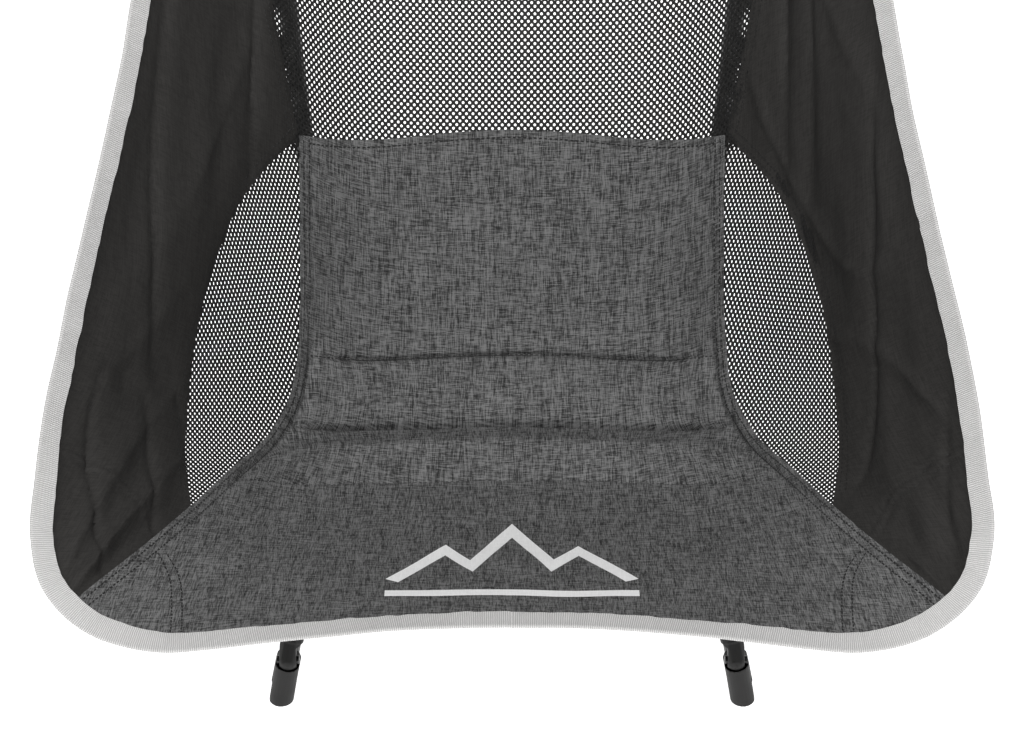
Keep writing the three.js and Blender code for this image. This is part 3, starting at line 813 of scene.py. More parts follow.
class Finish:
    """Starts a material and places shared patterns in it."""

    def __init__(self, name: str, source: str = "UV") -> None:
        """Makes the material's tree, with one coordinate for all its patterns.

        Args:
            name: the material's name.
            source: the Texture Coordinate output that places the patterns.
        """
        self.material = bpy.data.materials.new(name)
        self.material.use_nodes = True
        self.graph = Graph(self.material.node_tree)
        self.shader = next(n for n in self.graph.tree.nodes if n.type == "BSDF_PRINCIPLED")
        self.place = self.graph.node("ShaderNodeTexCoord").outputs[source]

    def pattern(self, group: bpy.types.NodeTree, **values: float) -> bpy.types.Node:
        """A shared pattern, placed by the material's coordinate.

        Args:
            group: the pattern's node group.
            values: sockets or numbers.

        Returns:
            The group's node.
        """
        made = self.graph.node("ShaderNodeGroup", node_tree=group)
        self.graph.feed(made.inputs["Vector"], self.place)
        for name, value in values.items():
            made.inputs[name.replace("_", " ")].default_value = value
        return made

    def relief(self, height: object, distance: float, strength: float = 1.0) -> None:
        """Bumps the surface by a height.

        Args:
            height: how high the surface stands.
            distance: how deep the relief is, in metres.
            strength: the share of the relief that shows.
        """
        bump = self.graph.node("ShaderNodeBump")
        for name, value in (("Strength", strength), ("Distance", distance), ("Height", height)):
            self.graph.feed(bump.inputs[name], value)
        self.graph.feed(self.shader.inputs["Normal"], bump.outputs[0])

    def dress(self, **values: object) -> bpy.types.Material:
        """Sets the shader's sockets, whose names have spaces for underscores, and gives the material.

        Args:
            values: sockets or numbers.

        Returns:
            The material.
        """
        for name, value in values.items():
            self.graph.feed(self.shader.inputs[name.replace("_", " ")], value)
        return self.material


def shade(value: float, warm: float = 0.0) -> tuple[float, float, float, float]:
    """A grey, with red raised and blue lowered by the share called warm."""
    return value * (1 + warm), value, value * (1 - warm), 1.0


class Finishes:
    """The chair's materials."""

    def __init__(self) -> None:
        """Makes every material."""
        self.patterns = Patterns()
        self.melange = self._melange()
        self.black_cloth = self._black_cloth()
        self.mesh = self._mesh()
        self.webbing = self._webbing()
        self.lining = self._lining()
        self.tube = self._tube()
        self.nylon = self._nylon()
        self.steel = self._steel("ground_steel", 0.59)
        self.dark_steel = self._steel("blackened_steel", 0.05)
        self.dark_thread = self._thread("dark_thread", 0.012)
        self.black_thread = self._thread("black_thread", 0.008)
        self.print = self._print()

    def _melange(self) -> bpy.types.Material:
        """Grey heathered cloth: yarn streaks between two greys, with a faint weave relief.

        Returns:
            The material.
        """
        finish = Finish("melange_cloth")
        yarns = finish.pattern(self.patterns.heather)
        weave = finish.pattern(self.patterns.weave, Yarns_per_metre=1500.0)
        graph = finish.graph
        colour = graph.mix(yarns.outputs["Tone"], shade(0.030), shade(0.210))
        drift = graph.spread(yarns.outputs["Blotch"], 0.35, 0.65, 0.0, 0.12)
        colour = graph.mix(drift, colour, shade(0.058))
        height = graph.math("ADD", weave.outputs[0], yarns.outputs["Tone"])
        finish.relief(height, 0.00012, 0.8)
        return finish.dress(Base_Color=colour, Roughness=0.95, Specular_IOR_Level=0.04)

    def _black_cloth(self) -> bpy.types.Material:
        """Matt black cloth with a fine weave and a slightly warm tone.

        Returns:
            The material.
        """
        finish = Finish("black_cloth")
        weave = finish.pattern(self.patterns.weave, Yarns_per_metre=2200.0)
        yarns = finish.pattern(self.patterns.heather)
        graph = finish.graph
        colour = graph.mix(yarns.outputs["Tone"], shade(0.027, 0.04), shade(0.039, 0.04))
        finish.relief(weave.outputs[0], 0.00008, 0.7)
        return finish.dress(Base_Color=colour, Roughness=0.6, Specular_IOR_Level=0.06)

    def _mesh(self) -> bpy.types.Material:
        """Black coated mesh strands with a soft shine and lint.

        Returns:
            The material.
        """
        finish = Finish("black_mesh")
        yarns = finish.pattern(self.patterns.heather)
        colour = finish.graph.mix(yarns.outputs["Tone"], shade(0.009), shade(0.022, 0.03))
        finish.relief(yarns.outputs["Tone"], 0.00006, 0.6)
        return finish.dress(Base_Color=colour, Roughness=0.6, Specular_IOR_Level=0.3)

    def _webbing(self) -> bpy.types.Material:
        """Light grey ribbed tape: painted shade that darkens the furrows between ribs, and yarn noise.

        Returns:
            The material.
        """
        finish = Finish("grey_webbing")
        ribs = finish.pattern(self.patterns.ribs, Pitch=0.00132)
        graph = finish.graph
        colour = graph.mix(ribs.outputs["Tone"], shade(0.61, 0.01), shade(0.77, 0.01))
        # painted shade: the colour turns towards a dark grey at the bottom of each furrow between ribs,
        # where shadow falls
        furrow_painted_shade = graph.spread(ribs.outputs["Height"], 0.0, 0.75, 0.75, 0.0)
        colour = graph.mix(furrow_painted_shade, colour, shade(0.33, 0.01))
        finish.relief(ribs.outputs["Height"], 0.00035, 1.0)
        return finish.dress(Base_Color=colour, Roughness=0.8, Specular_IOR_Level=0.15)

    def _lining(self) -> bpy.types.Material:
        """Thin dark lining over the foam pad.

        Returns:
            The material.
        """
        finish = Finish("pad_lining")
        weave = finish.pattern(self.patterns.weave, Yarns_per_metre=1700.0)
        yarns = finish.pattern(self.patterns.heather)
        colour = finish.graph.mix(yarns.outputs["Tone"], shade(0.014), shade(0.034))
        finish.relief(weave.outputs[0], 0.0001, 0.7)
        return finish.dress(Base_Color=colour, Roughness=0.85, Specular_IOR_Level=0.3)

    def _tube(self) -> bpy.types.Material:
        """Black powder coat: orange-peel grain, soft gloss, rubbed edges.

        Returns:
            The material.
        """
        finish = Finish("black_powder_coat", "Object")
        grain = finish.pattern(self.patterns.grain, Scale=1400.0)
        graph = finish.graph
        colour = graph.mix(grain.outputs["Patches"], shade(0.014, 0.02), shade(0.022, 0.02))
        colour = graph.mix(graph.math("MULTIPLY", grain.outputs["Wear"], 0.35), colour, shade(0.12))
        finish.relief(grain.outputs["Height"], 0.00004, 0.5)
        rough = graph.spread(grain.outputs["Patches"], 0.3, 0.7, 0.34, 0.48)
        return finish.dress(Base_Color=colour, Roughness=rough, Metallic=0.0, Specular_IOR_Level=0.5)

    def _nylon(self) -> bpy.types.Material:
        """Moulded black nylon: fine spark grain, satin, paler on its rubbed edges.

        Returns:
            The material.
        """
        finish = Finish("moulded_nylon", "Object")
        grain = finish.pattern(self.patterns.grain, Scale=2100.0)
        graph = finish.graph
        colour = graph.mix(grain.outputs["Patches"], shade(0.010, 0.03), shade(0.017, 0.03))
        colour = graph.mix(graph.math("MULTIPLY", grain.outputs["Wear"], 0.4), colour, shade(0.05))
        finish.relief(grain.outputs["Height"], 0.00007, 0.7)
        rough = graph.spread(grain.outputs["Patches"], 0.3, 0.7, 0.5, 0.66)
        return finish.dress(Base_Color=colour, Roughness=rough, Specular_IOR_Level=0.35)

    def _steel(self, name: str, value: float) -> bpy.types.Material:
        """Steel with faint turning marks, of a given grey.

        Args:
            name: the material's name.
            value: how light the steel is.

        Returns:
            The material.
        """
        finish = Finish(name, "Object")
        grain = finish.pattern(self.patterns.grain, Scale=900.0)
        graph = finish.graph
        colour = graph.mix(grain.outputs["Patches"], shade(value * 0.88), shade(value * 1.12))
        finish.relief(grain.outputs["Height"], 0.00003, 0.4)
        rough = graph.spread(grain.outputs["Height"], 0.3, 0.7, 0.24, 0.38)
        return finish.dress(Base_Color=colour, Roughness=rough, Metallic=1.0)

    def _thread(self, name: str, value: float) -> bpy.types.Material:
        """Sewing thread with a little tone along it.

        Args:
            name: the material's name.
            value: how light the thread is.

        Returns:
            The material.
        """
        finish = Finish(name, "Object")
        tone = finish.graph.noise(finish.place, 900.0)
        colour = finish.graph.mix(tone, shade(value * 0.6), shade(value * 1.5))
        return finish.dress(Base_Color=colour, Roughness=0.6)

    def _print(self) -> bpy.types.Material:
        """Off-white printed ink, thin enough for the weave to show.

        Returns:
            The material.
        """
        finish = Finish("printed_ink")
        weave = finish.pattern(self.patterns.weave, Yarns_per_metre=1500.0)
        yarns = finish.pattern(self.patterns.heather)
        colour = finish.graph.mix(yarns.outputs["Tone"], shade(0.88), shade(0.97))
        finish.relief(weave.outputs[0], 0.0001, 0.6)
        return finish.dress(Base_Color=colour, Roughness=0.7)


# ---- cloth pieces ----------------------------------------------------------------------------


@dataclass
class ClothWork:
    """What the cloth pieces share: how they are finished and set on the rocker."""

    finishes: Finishes

    def settle(
        self, obj: bpy.types.Object, material: bpy.types.Material, slot: Slot, *nodes: str
    ) -> bpy.types.Object:
        """Dresses a piece and sets it on the rocker."""
        return settle(obj, ROCKER, material, slot, *nodes)


@dataclass
class SeatPanel(ClothWork):
    """The grey panel, from the front hem to the small of the back, with two padded rolls sewn in."""

    lift: float = 0.0011
    thickness: float = 0.0010
    tape_cover: float = 0.008
    columns: int = 141
    rows: int = 301
    hem_strip: float = 0.0095
    even_share: float = 0.65
    crowding: float = 3.0
    crowd_width: float = 0.022
    # each cross seam's s on the middle line and its bow, from the top down
    seams: tuple[tuple[float, float], ...] = ((0.507, 0.080), (0.419, 0.096), (0.326, 0.117))
    upper_roll: float = 0.0078
    lower_roll: float = 0.0160
    # grooves as seam number, depth and half width
    grooves: tuple[tuple[int, float, float], ...] = (
        (0, 0.0034, 0.0022), (1, 0.0046, 0.0030), (1, 0.0042, 0.0014), (2, 0.0016, 0.0016),
    )
    shoulder: float = 0.045
    shallow_crease: float = 0.0005
    deep_crease: float = 0.0024
    pucker: float = 0.0003
    pull: float = 0.0008
    drag: float = 0.0016
    edge_ruffle: float = 0.0006
    flat: tuple[float, float] = (0.58, 0.62)

    def seam_s(self, k: int, u: Array) -> Array:
        """The s of one cross seam, which bows down with the square of u."""
        start, bow = self.seams[k]
        return start - bow * u * u

    def relief(self, u: Array, s: Array) -> Array:
        """Height over the plain surface: two filled rolls, the grooves of their seams, and creases.

        Between the upper two seams the cloth bulges evenly. Between the lower two it climbs slowly from
        the deep middle seam and falls off steeply at the lowest one. Beside the hem strips the rolls end
        in a crease. Puckers and tension folds are noise, which dies out at the panel's edge.

        Args:
            u: places across the sling.
            s: places up the sling.

        Returns:
            Heights in metres.
        """
        seams = upper, middle, lower = [self.seam_s(k, u) for k in range(len(self.seams))]
        right = np.abs(u)
        gap = (seam_u(SEAT_SEAM, np.clip(s, SEAT_SEAM[0, 0], SEAT_SEAM[-1, 0])) - right) * ACROSS
        plump = np.sin(np.clip((gap - self.hem_strip) / self.shoulder, 0, 1) * np.pi / 2) ** 0.7
        from_hem = (s - through(HEM[:, 1], HEM[:, 0], right)) * UPWARD
        inside = np.clip(gap / 0.02, 0, 1) * np.clip((from_hem - self.tape_cover) / 0.02, 0, 1)
        q = np.clip((s - middle) / (upper - middle), 0, 1)
        p = np.clip((middle - s) / (middle - lower), 0, 1)
        even_bulge = np.sin(np.pi * q) ** 0.65
        long_climb = 1.0149 - np.sqrt((2 * p - 1) ** 2 + 0.03)
        roll = self.upper_roll * even_bulge + self.lower_roll * long_climb
        groove = sum(
            depth * bump_line((s - seams[k]) * UPWARD, width) for k, depth, width in self.grooves
        )
        padded = np.clip((s - lower + 0.02) / 0.03, 0, 1) * np.clip((upper - s + 0.02) / 0.03, 0, 1)
        depth = self.shallow_crease + self.deep_crease * padded
        crease = depth * bump_line(gap - self.hem_strip, 0.0028)
        pucker = sum(
            soft_noise(u * 38 + 3 * k, s * 26, 11 + k) * bump_line((s - seam) * UPWARD, 0.012)
            for k, seam in enumerate(seams)
        )
        pull = soft_noise(u * 5.0 + s * 9.0, s * 16.0 - u * 7.0, 5)
        pull += 0.6 * soft_noise(u * 11.0, s * 30.0, 6)
        ruffle = bump_line(gap, 0.02) * (1 + soft_noise(u * 6.0, s * 46.0, 8))
        corner = np.clip((right - 0.45) / 0.4, 0, 1) * np.clip((0.3 - s) / 0.2, 0, 1)
        drag = soft_noise(right * 20.0 + s * 34.0, right * 3.0, 9) * corner
        loose = self.pucker * pucker + self.pull * pull + self.drag * drag
        return plump * (roll - groove) - crease + inside * loose + self.edge_ruffle * ruffle

    def outline(self) -> tuple[Array, Array, float]:
        """The right half's hem line under the tape and where it meets the side seam.

        Returns:
            The line's u and s, and the s where it meets the side seam.
        """
        u, s = SLING.beside(*rim(), self.tape_cover)
        front = s < 0.15
        u, s = u[front], s[front]
        last = int(np.argmin(np.abs(u - seam_u(SEAT_SEAM, s)) + (s < 0.02)))
        return u[: last + 1], s[: last + 1], float(s[last])

    def grid(self) -> tuple[Array, Array]:
        """A Coons patch in u and s: hem and top edge joined by the two side seams.

        Columns stand closer together towards the sides and rows towards the cross seams, where the
        shape turns fastest.

        Returns:
            Grids of u and s.
        """
        hem_u, hem_s, corner = self.outline()
        even = np.linspace(-1, 1, self.columns)
        share = self.even_share * even + (1 - self.even_share) * np.sin(even * np.pi / 2)
        climb_weight = 2.5
        length = run_length(np.stack([hem_u, climb_weight * hem_s], -1))
        length /= length[-1]
        reach = np.abs(share)
        bottom_u = np.sign(share) * np.interp(reach, length, hem_u)
        bottom = np.stack([bottom_u, np.interp(reach, length, hem_s)], -1)
        top_u = share * SEAT_SEAM[-1, 1]
        top = np.stack([top_u, panel_top(top_u)], -1)
        fine = np.linspace(0, 1, 2000)
        hem_s_below = 0.004
        at_seams = ((start + hem_s_below) / (SEAT_TOP + hem_s_below) for start, _ in self.seams)
        crowds = sum(bump_line(fine - place, self.crowd_width) for place in at_seams)
        total = np.cumsum(1 + self.crowding * crowds)
        rise = np.interp(np.linspace(total[0], total[-1], self.rows), total, fine)
        side_s = corner + (SEAT_SEAM[-1, 0] - corner) * rise
        side_u = seam_u(SEAT_SEAM, side_s)
        side_u[0] = bottom[-1, 0]
        b = rise[:, None, None]
        a = ((share + 1) / 2)[None, :, None]
        left = np.stack([-side_u, side_s], -1)[:, None]
        right = np.stack([side_u, side_s], -1)[:, None]
        low_corners = (1 - a) * bottom[0] + a * bottom[-1]
        high_corners = (1 - a) * top[0] + a * top[-1]
        corners = (1 - b) * low_corners + b * high_corners
        patch = (1 - b) * bottom[None] + b * top[None] + (1 - a) * left + a * right - corners
        return patch[..., 0], patch[..., 1]

    def build(self) -> bpy.types.Object:
        """Makes the panel.

        Returns:
            The piece.
        """
        u, s = self.grid()
        height = self.lift + self.relief(u, s)
        top = SLING.off(u, s, height)
        bottom = SLING.off(u, s, height - self.thickness)
        obj = slab("seat_panel_cloth", top, bottom, SLING.cloth_map(u, s))
        return self.settle(obj, self.finishes.melange, Slot.MELANGE, "seat_panel")


# the double arc of stitches round each front pocket, as pairs of u and s
POCKET_ARC = np.array([
    (0.995, 0.264), (0.965, 0.262), (0.939, 0.260), (0.908, 0.251), (0.873, 0.239), (0.830, 0.225),
    (0.804, 0.207), (0.777, 0.176), (0.753, 0.149), (0.723, 0.120), (0.708, 0.094), (0.700, 0.056),
    (0.697, 0.008), (0.697, -0.015),
])
# the arc's relief as distance from its first row, height and half width: two furrows and a band
ARC_RELIEF = ((0.0, -0.0012, 0.0018), (ROW_GAP, -0.0012, 0.0018), (ROW_GAP / 2, 0.0008, 0.0022))


def arc_line(distance: float, count: int = 200) -> tuple[Array, Array]:
    """The pocket's arc, moved towards the corner by a distance in metres.

    Args:
        distance: how far it moves, in metres.
        count: how many places it gives.

    Returns:
        The line's u and s.
    """
    chord = run_length(SLING.point(*POCKET_ARC.T))
    line = through(chord, POCKET_ARC, np.linspace(0, chord[-1], count))
    return SLING.beside(line[:, 0], line[:, 1], distance)


def arc_ridge(u: Array, s: Array) -> Array:
    """Relief of the pocket's two stitch rows: shallow furrows with a raised band between them.

    Args:
        u: places across the sling.
        s: places up the sling.

    Returns:
        Heights in metres.
    """
    flat = SLING.point(np.abs(u), s)
    total = np.zeros_like(u)
    for distance, depth, width in ARC_RELIEF:
        line = SLING.point(*arc_line(distance, 70))
        gap = np.min(np.linalg.norm(flat[..., None, :] - line, axis=-1), axis=-1)
        total += depth * bump_line(gap, width)
    return total


@dataclass
class SidePanel(ClothWork):
    """One black panel, from a front corner up to the head band."""

    sign: float = 1.0
    name: str = "right"
    lift: float = 0.0003
    thickness: float = 0.0009
    tape_cover: float = 0.006
    foot: float = 0.062
    columns: int = 49
    rows: int = 221
    fold_height: float = 0.0040
    crest_height: float = 0.0036
    crease_depth: float = 0.0042
    gather_height: float = 0.0042
    seam_ruffle: float = 0.0005
    flat: tuple[float, float] = (0.17, 0.84)

    def inner(self, s: Array) -> Array:
        """The u of the inner edge: under the seat panel, then along the crescent and the back mesh.

        Args:
            s: places up the sling.

        Returns:
            The edge's u.
        """
        low, high = CRESCENT_SEAM[0, 0], BACK_SEAM[0, 0]
        under_seat = seam_u(SEAT_SEAM, s) - 0.012 * np.clip((low - s) / 0.02, 0, 1)
        beside_mesh = np.where(s < high, seam_u(CRESCENT_SEAM, s), seam_u(BACK_SEAM, s))
        return np.where(s < low, under_seat, beside_mesh)

    def outer(self, s: Array) -> Array:
        """The u of the outer edge, inside the tape.

        Args:
            s: places up the sling.

        Returns:
            The edge's u.
        """
        rim_u, rim_s = SLING.beside(*rim(), self.tape_cover)
        rising = (rim_u > 0.8) & (rim_s < 0.975) & (rim_s > 0.0)
        return np.interp(s, rim_s[rising], rim_u[rising])

    def relief(self, u: Array, s: Array) -> Array:
        """Soft upright folds that fan out from the front pocket and lie down towards the tape.

        Folds are two noises drawn out upward. Crests and creases are high powers of one less a
        noise's size, so they are thin lines where it crosses zero. Gathers are a noise of the angle
        round the front corner. The left panel reads another part of each noise.

        Args:
            u: places across the sling.
            s: places up the sling.

        Returns:
            Heights in metres.
        """
        v = s + (5.0 if self.sign < 0 else 0.0)
        fold = soft_noise(u * 12.0 + s * 3.0 + 4.0, v * 4.0, 21)
        fold += 0.45 * soft_noise(u * 27.0 - s * 5.0, v * 8.0, 22)
        crest = 1 - np.abs(soft_noise(u * 8.0 + s * 6.0, v * 3.0 + 7.0, 25))
        crease = 1 - np.abs(soft_noise(u * 9.0 - s * 3.0, v * 2.5 + 3.0, 26))
        corner = np.clip((0.34 - s) / 0.2, 0, 1)
        fan = np.arctan2(s - 0.02, 0.98 - u)
        gathers = soft_noise(fan * 6.0, v * 4.0, 23) * corner
        inner, outer = self.inner(s), self.outer(s)
        ruffle = bump_line(u - inner, 0.035) * soft_noise(u * 5.0, v * 60.0, 24)
        belly = np.sin(np.clip((u - inner) / np.maximum(outer - inner, 1e-3), 0, 1) * np.pi)
        folds = self.fold_height * fold + self.crest_height * crest**7
        folds += self.gather_height * gathers - self.crease_depth * crease**9
        calm = np.clip((outer - u) / 0.06, 0, 1) ** 1.5 * np.clip((s - self.foot) / 0.05, 0, 1)
        return belly**0.6 * folds * calm + self.seam_ruffle * ruffle

    def build(self) -> bpy.types.Object:
        """Makes the panel.

        Returns:
            The piece.
        """
        s = np.linspace(self.foot, HEAD_FOOT + 0.012, self.rows)[:, None]
        share = np.linspace(0, 1, self.columns)[None]
        inner, outer = self.inner(s), self.outer(s)
        outer = np.maximum(outer, inner + 0.004)
        u = inner + (outer - inner) * share
        s = np.broadcast_to(s, u.shape)
        height = self.lift + self.relief(u, s) + arc_ridge(u, s)
        if self.sign < 0:
            u, s, height = -u[:, ::-1], s[:, ::-1], height[:, ::-1]
        top = SLING.off(u, s, height)
        bottom = SLING.off(u, s, height - self.thickness)
        obj = slab(f"side_panel_cloth_{self.name}", top, bottom, SLING.cloth_map(u, s))
        return self.settle(obj, self.finishes.black_cloth, Slot.BLACK_CLOTH, f"side_panel_{self.name}")


@dataclass
class Lattice(ClothWork):
    """Open mesh: a closed sheet of diamond cells, each with a rounded hole, laid on the sling.

    Cells stand on a staggered grid of half pitches. Each is a ring between its four corners, shared
    with its neighbours, and a hole of six points. Walls join the upper and lower rings.
    """

    pitch: tuple[float, float] = (0.00447, 0.00516)
    hole: tuple[float, float] = (0.00099, 0.00112)
    thickness: float = 0.0005
    lift: float = -0.0006

    def build(
        self, name: str, inside: Callable[[Array, Array], Array], box: tuple[float, ...], turn: float = 0.0
    ) -> bpy.types.Object:
        """Makes one lattice.

        Args:
            name: the piece's name.
            inside: function of u and s, true where the mesh is wanted.
            box: lowest and highest place on the flat cloth, as x0, v0, x1, v1.
            turn: the grid's angle on the cloth, in radians.

        Returns:
            The new object, undressed.
        """
        x0, v0, x1, v1 = box
        middle = np.array([(x0 + x1) / 2, (v0 + v1) / 2])
        reach = math.hypot(x1 - x0, v1 - v0) / 2
        step = np.array(self.pitch) / 2
        n = np.ceil(reach / step).astype(int) + 1
        m, k = np.meshgrid(np.arange(-n[0], n[0] + 1), np.arange(-n[1], n[1] + 1))
        cells = np.stack([m, k], -1)[(m + k) % 2 == 0]
        spin = np.array([[math.cos(turn), -math.sin(turn)], [math.sin(turn), math.cos(turn)]])

        def flat(places: Array) -> Array:
            """Grid steps to metres on the flat cloth."""
            return (places * step) @ spin.T + middle

        at = flat(cells)
        boxed = (at[:, 0] > x0) & (at[:, 0] < x1) & (at[:, 1] > v0) & (at[:, 1] < v1)
        cells, at = cells[boxed], at[boxed]
        u, s = SLING.from_cloth(at[:, 0], at[:, 1])
        kept = inside(u, s)
        cells = cells[kept]
        reach_in = np.array([(1, 0), (0, 1), (-1, 0), (0, -1)])
        corner_keys = (cells[:, None] + reach_in).reshape(-1, 2)
        unique, number = np.unique(corner_keys, axis=0, return_inverse=True)
        c = number.reshape(-1, 4)
        angles = np.radians([-30, 30, 90, 150, 210, 270])
        ring = np.stack([np.cos(angles) * self.hole[0], np.sin(angles) * self.hole[1]], -1) / step
        holes = (cells[:, None] + ring).reshape(-1, 2)
        h = len(unique) + np.arange(len(holes)).reshape(-1, 6)
        places = flat(np.concatenate([unique, holes]).astype(float))
        u, s = SLING.from_cloth(places[:, 0], places[:, 1])
        top = SLING.off(u, s, self.lift)
        bottom = SLING.off(u, s, self.lift - self.thickness)
        faces = [(c[:, 0], h[:, 1], h[:, 0]), (c[:, 2], h[:, 4], h[:, 3])]
        for a, b, near, tip in ((0, 1, 1, 2), (1, 2, 3, 2), (2, 3, 4, 5), (3, 0, 0, 5)):
            faces.append((c[:, a], c[:, b], h[:, near]))
            far = (c[:, b], h[:, tip], h[:, near]) if b in (1, 3) else (c[:, a], h[:, near], h[:, tip])
            faces.append(far)
        upper = np.concatenate([np.stack(f, -1) for f in faces])
        count = len(places)
        following = np.roll(h, -1, axis=1)
        walls = [np.stack([h, following, following + count, h + count], -1).reshape(-1, 4)]
        ends = np.concatenate([np.stack([c[:, i], c[:, (i + 1) % 4]], -1) for i in range(4)])
        keys = ends[:, 0] * count + ends[:, 1]
        lone = ends[~np.isin(keys, ends[:, 1] * count + ends[:, 0])]
        walls.append(np.stack([lone[:, 1], lone[:, 0], lone[:, 0] + count, lone[:, 1] + count], -1))
        faces = [upper, upper[:, ::-1] + count, np.concatenate(walls)]
        return make_object(name, np.concatenate([top, bottom]), faces, np.tile(places, (2, 1)))


@dataclass
class EdgeTape(ClothWork):
    """The ribbed tape folded over the whole rim: a flat loop of a section carried round it."""

    width: float = 0.0140
    above: float = 0.0042
    below: float = 0.0013
    fold: float = 0.0014
    # the lip's waves and the whole tape's sway as height, waves to a metre and noise seed
    waves: tuple[tuple[float, float, int], ...] = ((0.0006, 55.0, 31), (0.0004, 170.0, 32))
    sway: tuple[float, float, int] = (0.0010, 26.0, 33)

    def section(self) -> Array:
        """Closed section: a thick inner lip that slopes to a small round fold on the outside, as pairs.

        Each pair is a distance inward and a height over the cloth.

        Returns:
            The section's pairs.
        """
        fold = np.radians(np.linspace(90, 270, 9))
        nose = np.stack([self.fold + np.cos(fold) * (self.fold + 0.001), np.sin(fold) * self.fold], -1)
        lip_top = [
            (self.width, self.above * 0.3), (self.width, self.above * 0.8), (self.width * 0.96, self.above),
            (self.width * 0.5, (self.above + self.fold) * 0.52),
        ]
        lip_low = [(self.width * 0.5, -self.below), (self.width, -self.below)]
        return np.array([*lip_top, *nose, *lip_low])

    def build(self) -> bpy.types.Object:
        """Makes the tape, wavy by a little on its inner lip, where it bends round the corners.

        Returns:
            The piece.
        """
        u, s = rim(640)
        u, s = np.concatenate([u, -u[-2:0:-1]]), np.concatenate([s, s[-2:0:-1]])
        centre = SLING.point(u, s)
        travel = unit(np.roll(centre, -1, 0) - np.roll(centre, 1, 0))
        up = SLING.normal(u, s)
        inward = unit(np.cross(up, travel))
        up = np.cross(travel, inward)
        step = np.linalg.norm(np.diff(centre, axis=0, append=centre[:1]), axis=1)
        length = np.concatenate([[0], np.cumsum(step)[:-1]])

        def ripple(height: float, density: float, seed: int) -> Array:
            """One smooth noise along the tape."""
            return height * soft_noise(length * density, length * 0, seed)

        wave = sum(ripple(*one) for one in self.waves)
        section = np.repeat(self.section()[None], len(u), axis=0)
        section[..., 1] += wave[:, None] * np.clip(section[..., 0] / self.width, 0, 1)
        section[..., 0] += ripple(*self.sway)[:, None]
        obj = swept("edge_tape", centre, inward, up, section, length)
        return self.settle(obj, self.finishes.webbing, Slot.WEBBING, "edge_binding")


@dataclass
class HeadBand(ClothWork):
    """The black band that closes the top of the back, doubled at its lower hem."""

    lift: float = 0.0012
    thickness: float = 0.0012
    flat: tuple[float, float] = (0.50, 0.08)

    def build(self) -> bpy.types.Object:
        """Makes the band.

        Returns:
            The piece.
        """
        share = np.linspace(-1, 1, 101)[None]
        s = np.linspace(HEAD_FOOT, 0.992, 25)[:, None]
        u, s = np.broadcast_arrays(share * 0.975, s)
        hem = 0.0007 * bump_line((s - HEAD_FOOT) * 1.4, 0.012)
        height = self.lift + hem + 0.0009 * soft_noise(u * 9.0, s * 22.0, 41)
        obj = slab("head_band_cloth", SLING.off(u, s, height), SLING.off(u, s, height - self.thickness),
                   SLING.cloth_map(u, s))
        return self.settle(obj, self.finishes.black_cloth, Slot.BLACK_CLOTH, "head_band")


@dataclass
class SeatPad(ClothWork):
    """The foam that fills the seat panel's two rolls, over a flat backing cloth."""

    backing: float = -0.0030
    slack: float = 0.0004
    border: float = 0.05

    def build(self, panel: SeatPanel) -> bpy.types.Object:
        """Makes the pad: it reaches up to the panel's underside and closes towards its border.

        Args:
            panel: the cloth over it, for its relief.

        Returns:
            The pad.
        """
        a, b = np.meshgrid(np.linspace(-1, 1, 101), np.linspace(0, 1, 81))
        u = a * 0.5
        for _ in range(3):
            low, high = panel.seam_s(2, u), panel.seam_s(0, u)
            s = low + (high - low) * b
            u = a * (seam_u(SEAT_SEAM, s) - self.border)
        under_panel = panel.lift + panel.relief(u, s) - panel.thickness - self.slack
        quilt = 0.0004 * soft_noise(a * 14, b * 9, 51)
        shut = np.clip(1 - np.abs(a) ** 24, 0, 1) * np.clip(1 - np.abs(2 * b - 1) ** 24, 0, 1)
        low_side = self.backing * shut + quilt * shut - 0.0016
        top = np.maximum(under_panel, low_side + 0.0003)
        obj = slab("seat_pad", SLING.off(u, s, top), SLING.off(u, s, low_side), SLING.cloth_map(u, s))
        return self.settle(obj, self.finishes.lining, Slot.FOAM, "seat_padding")


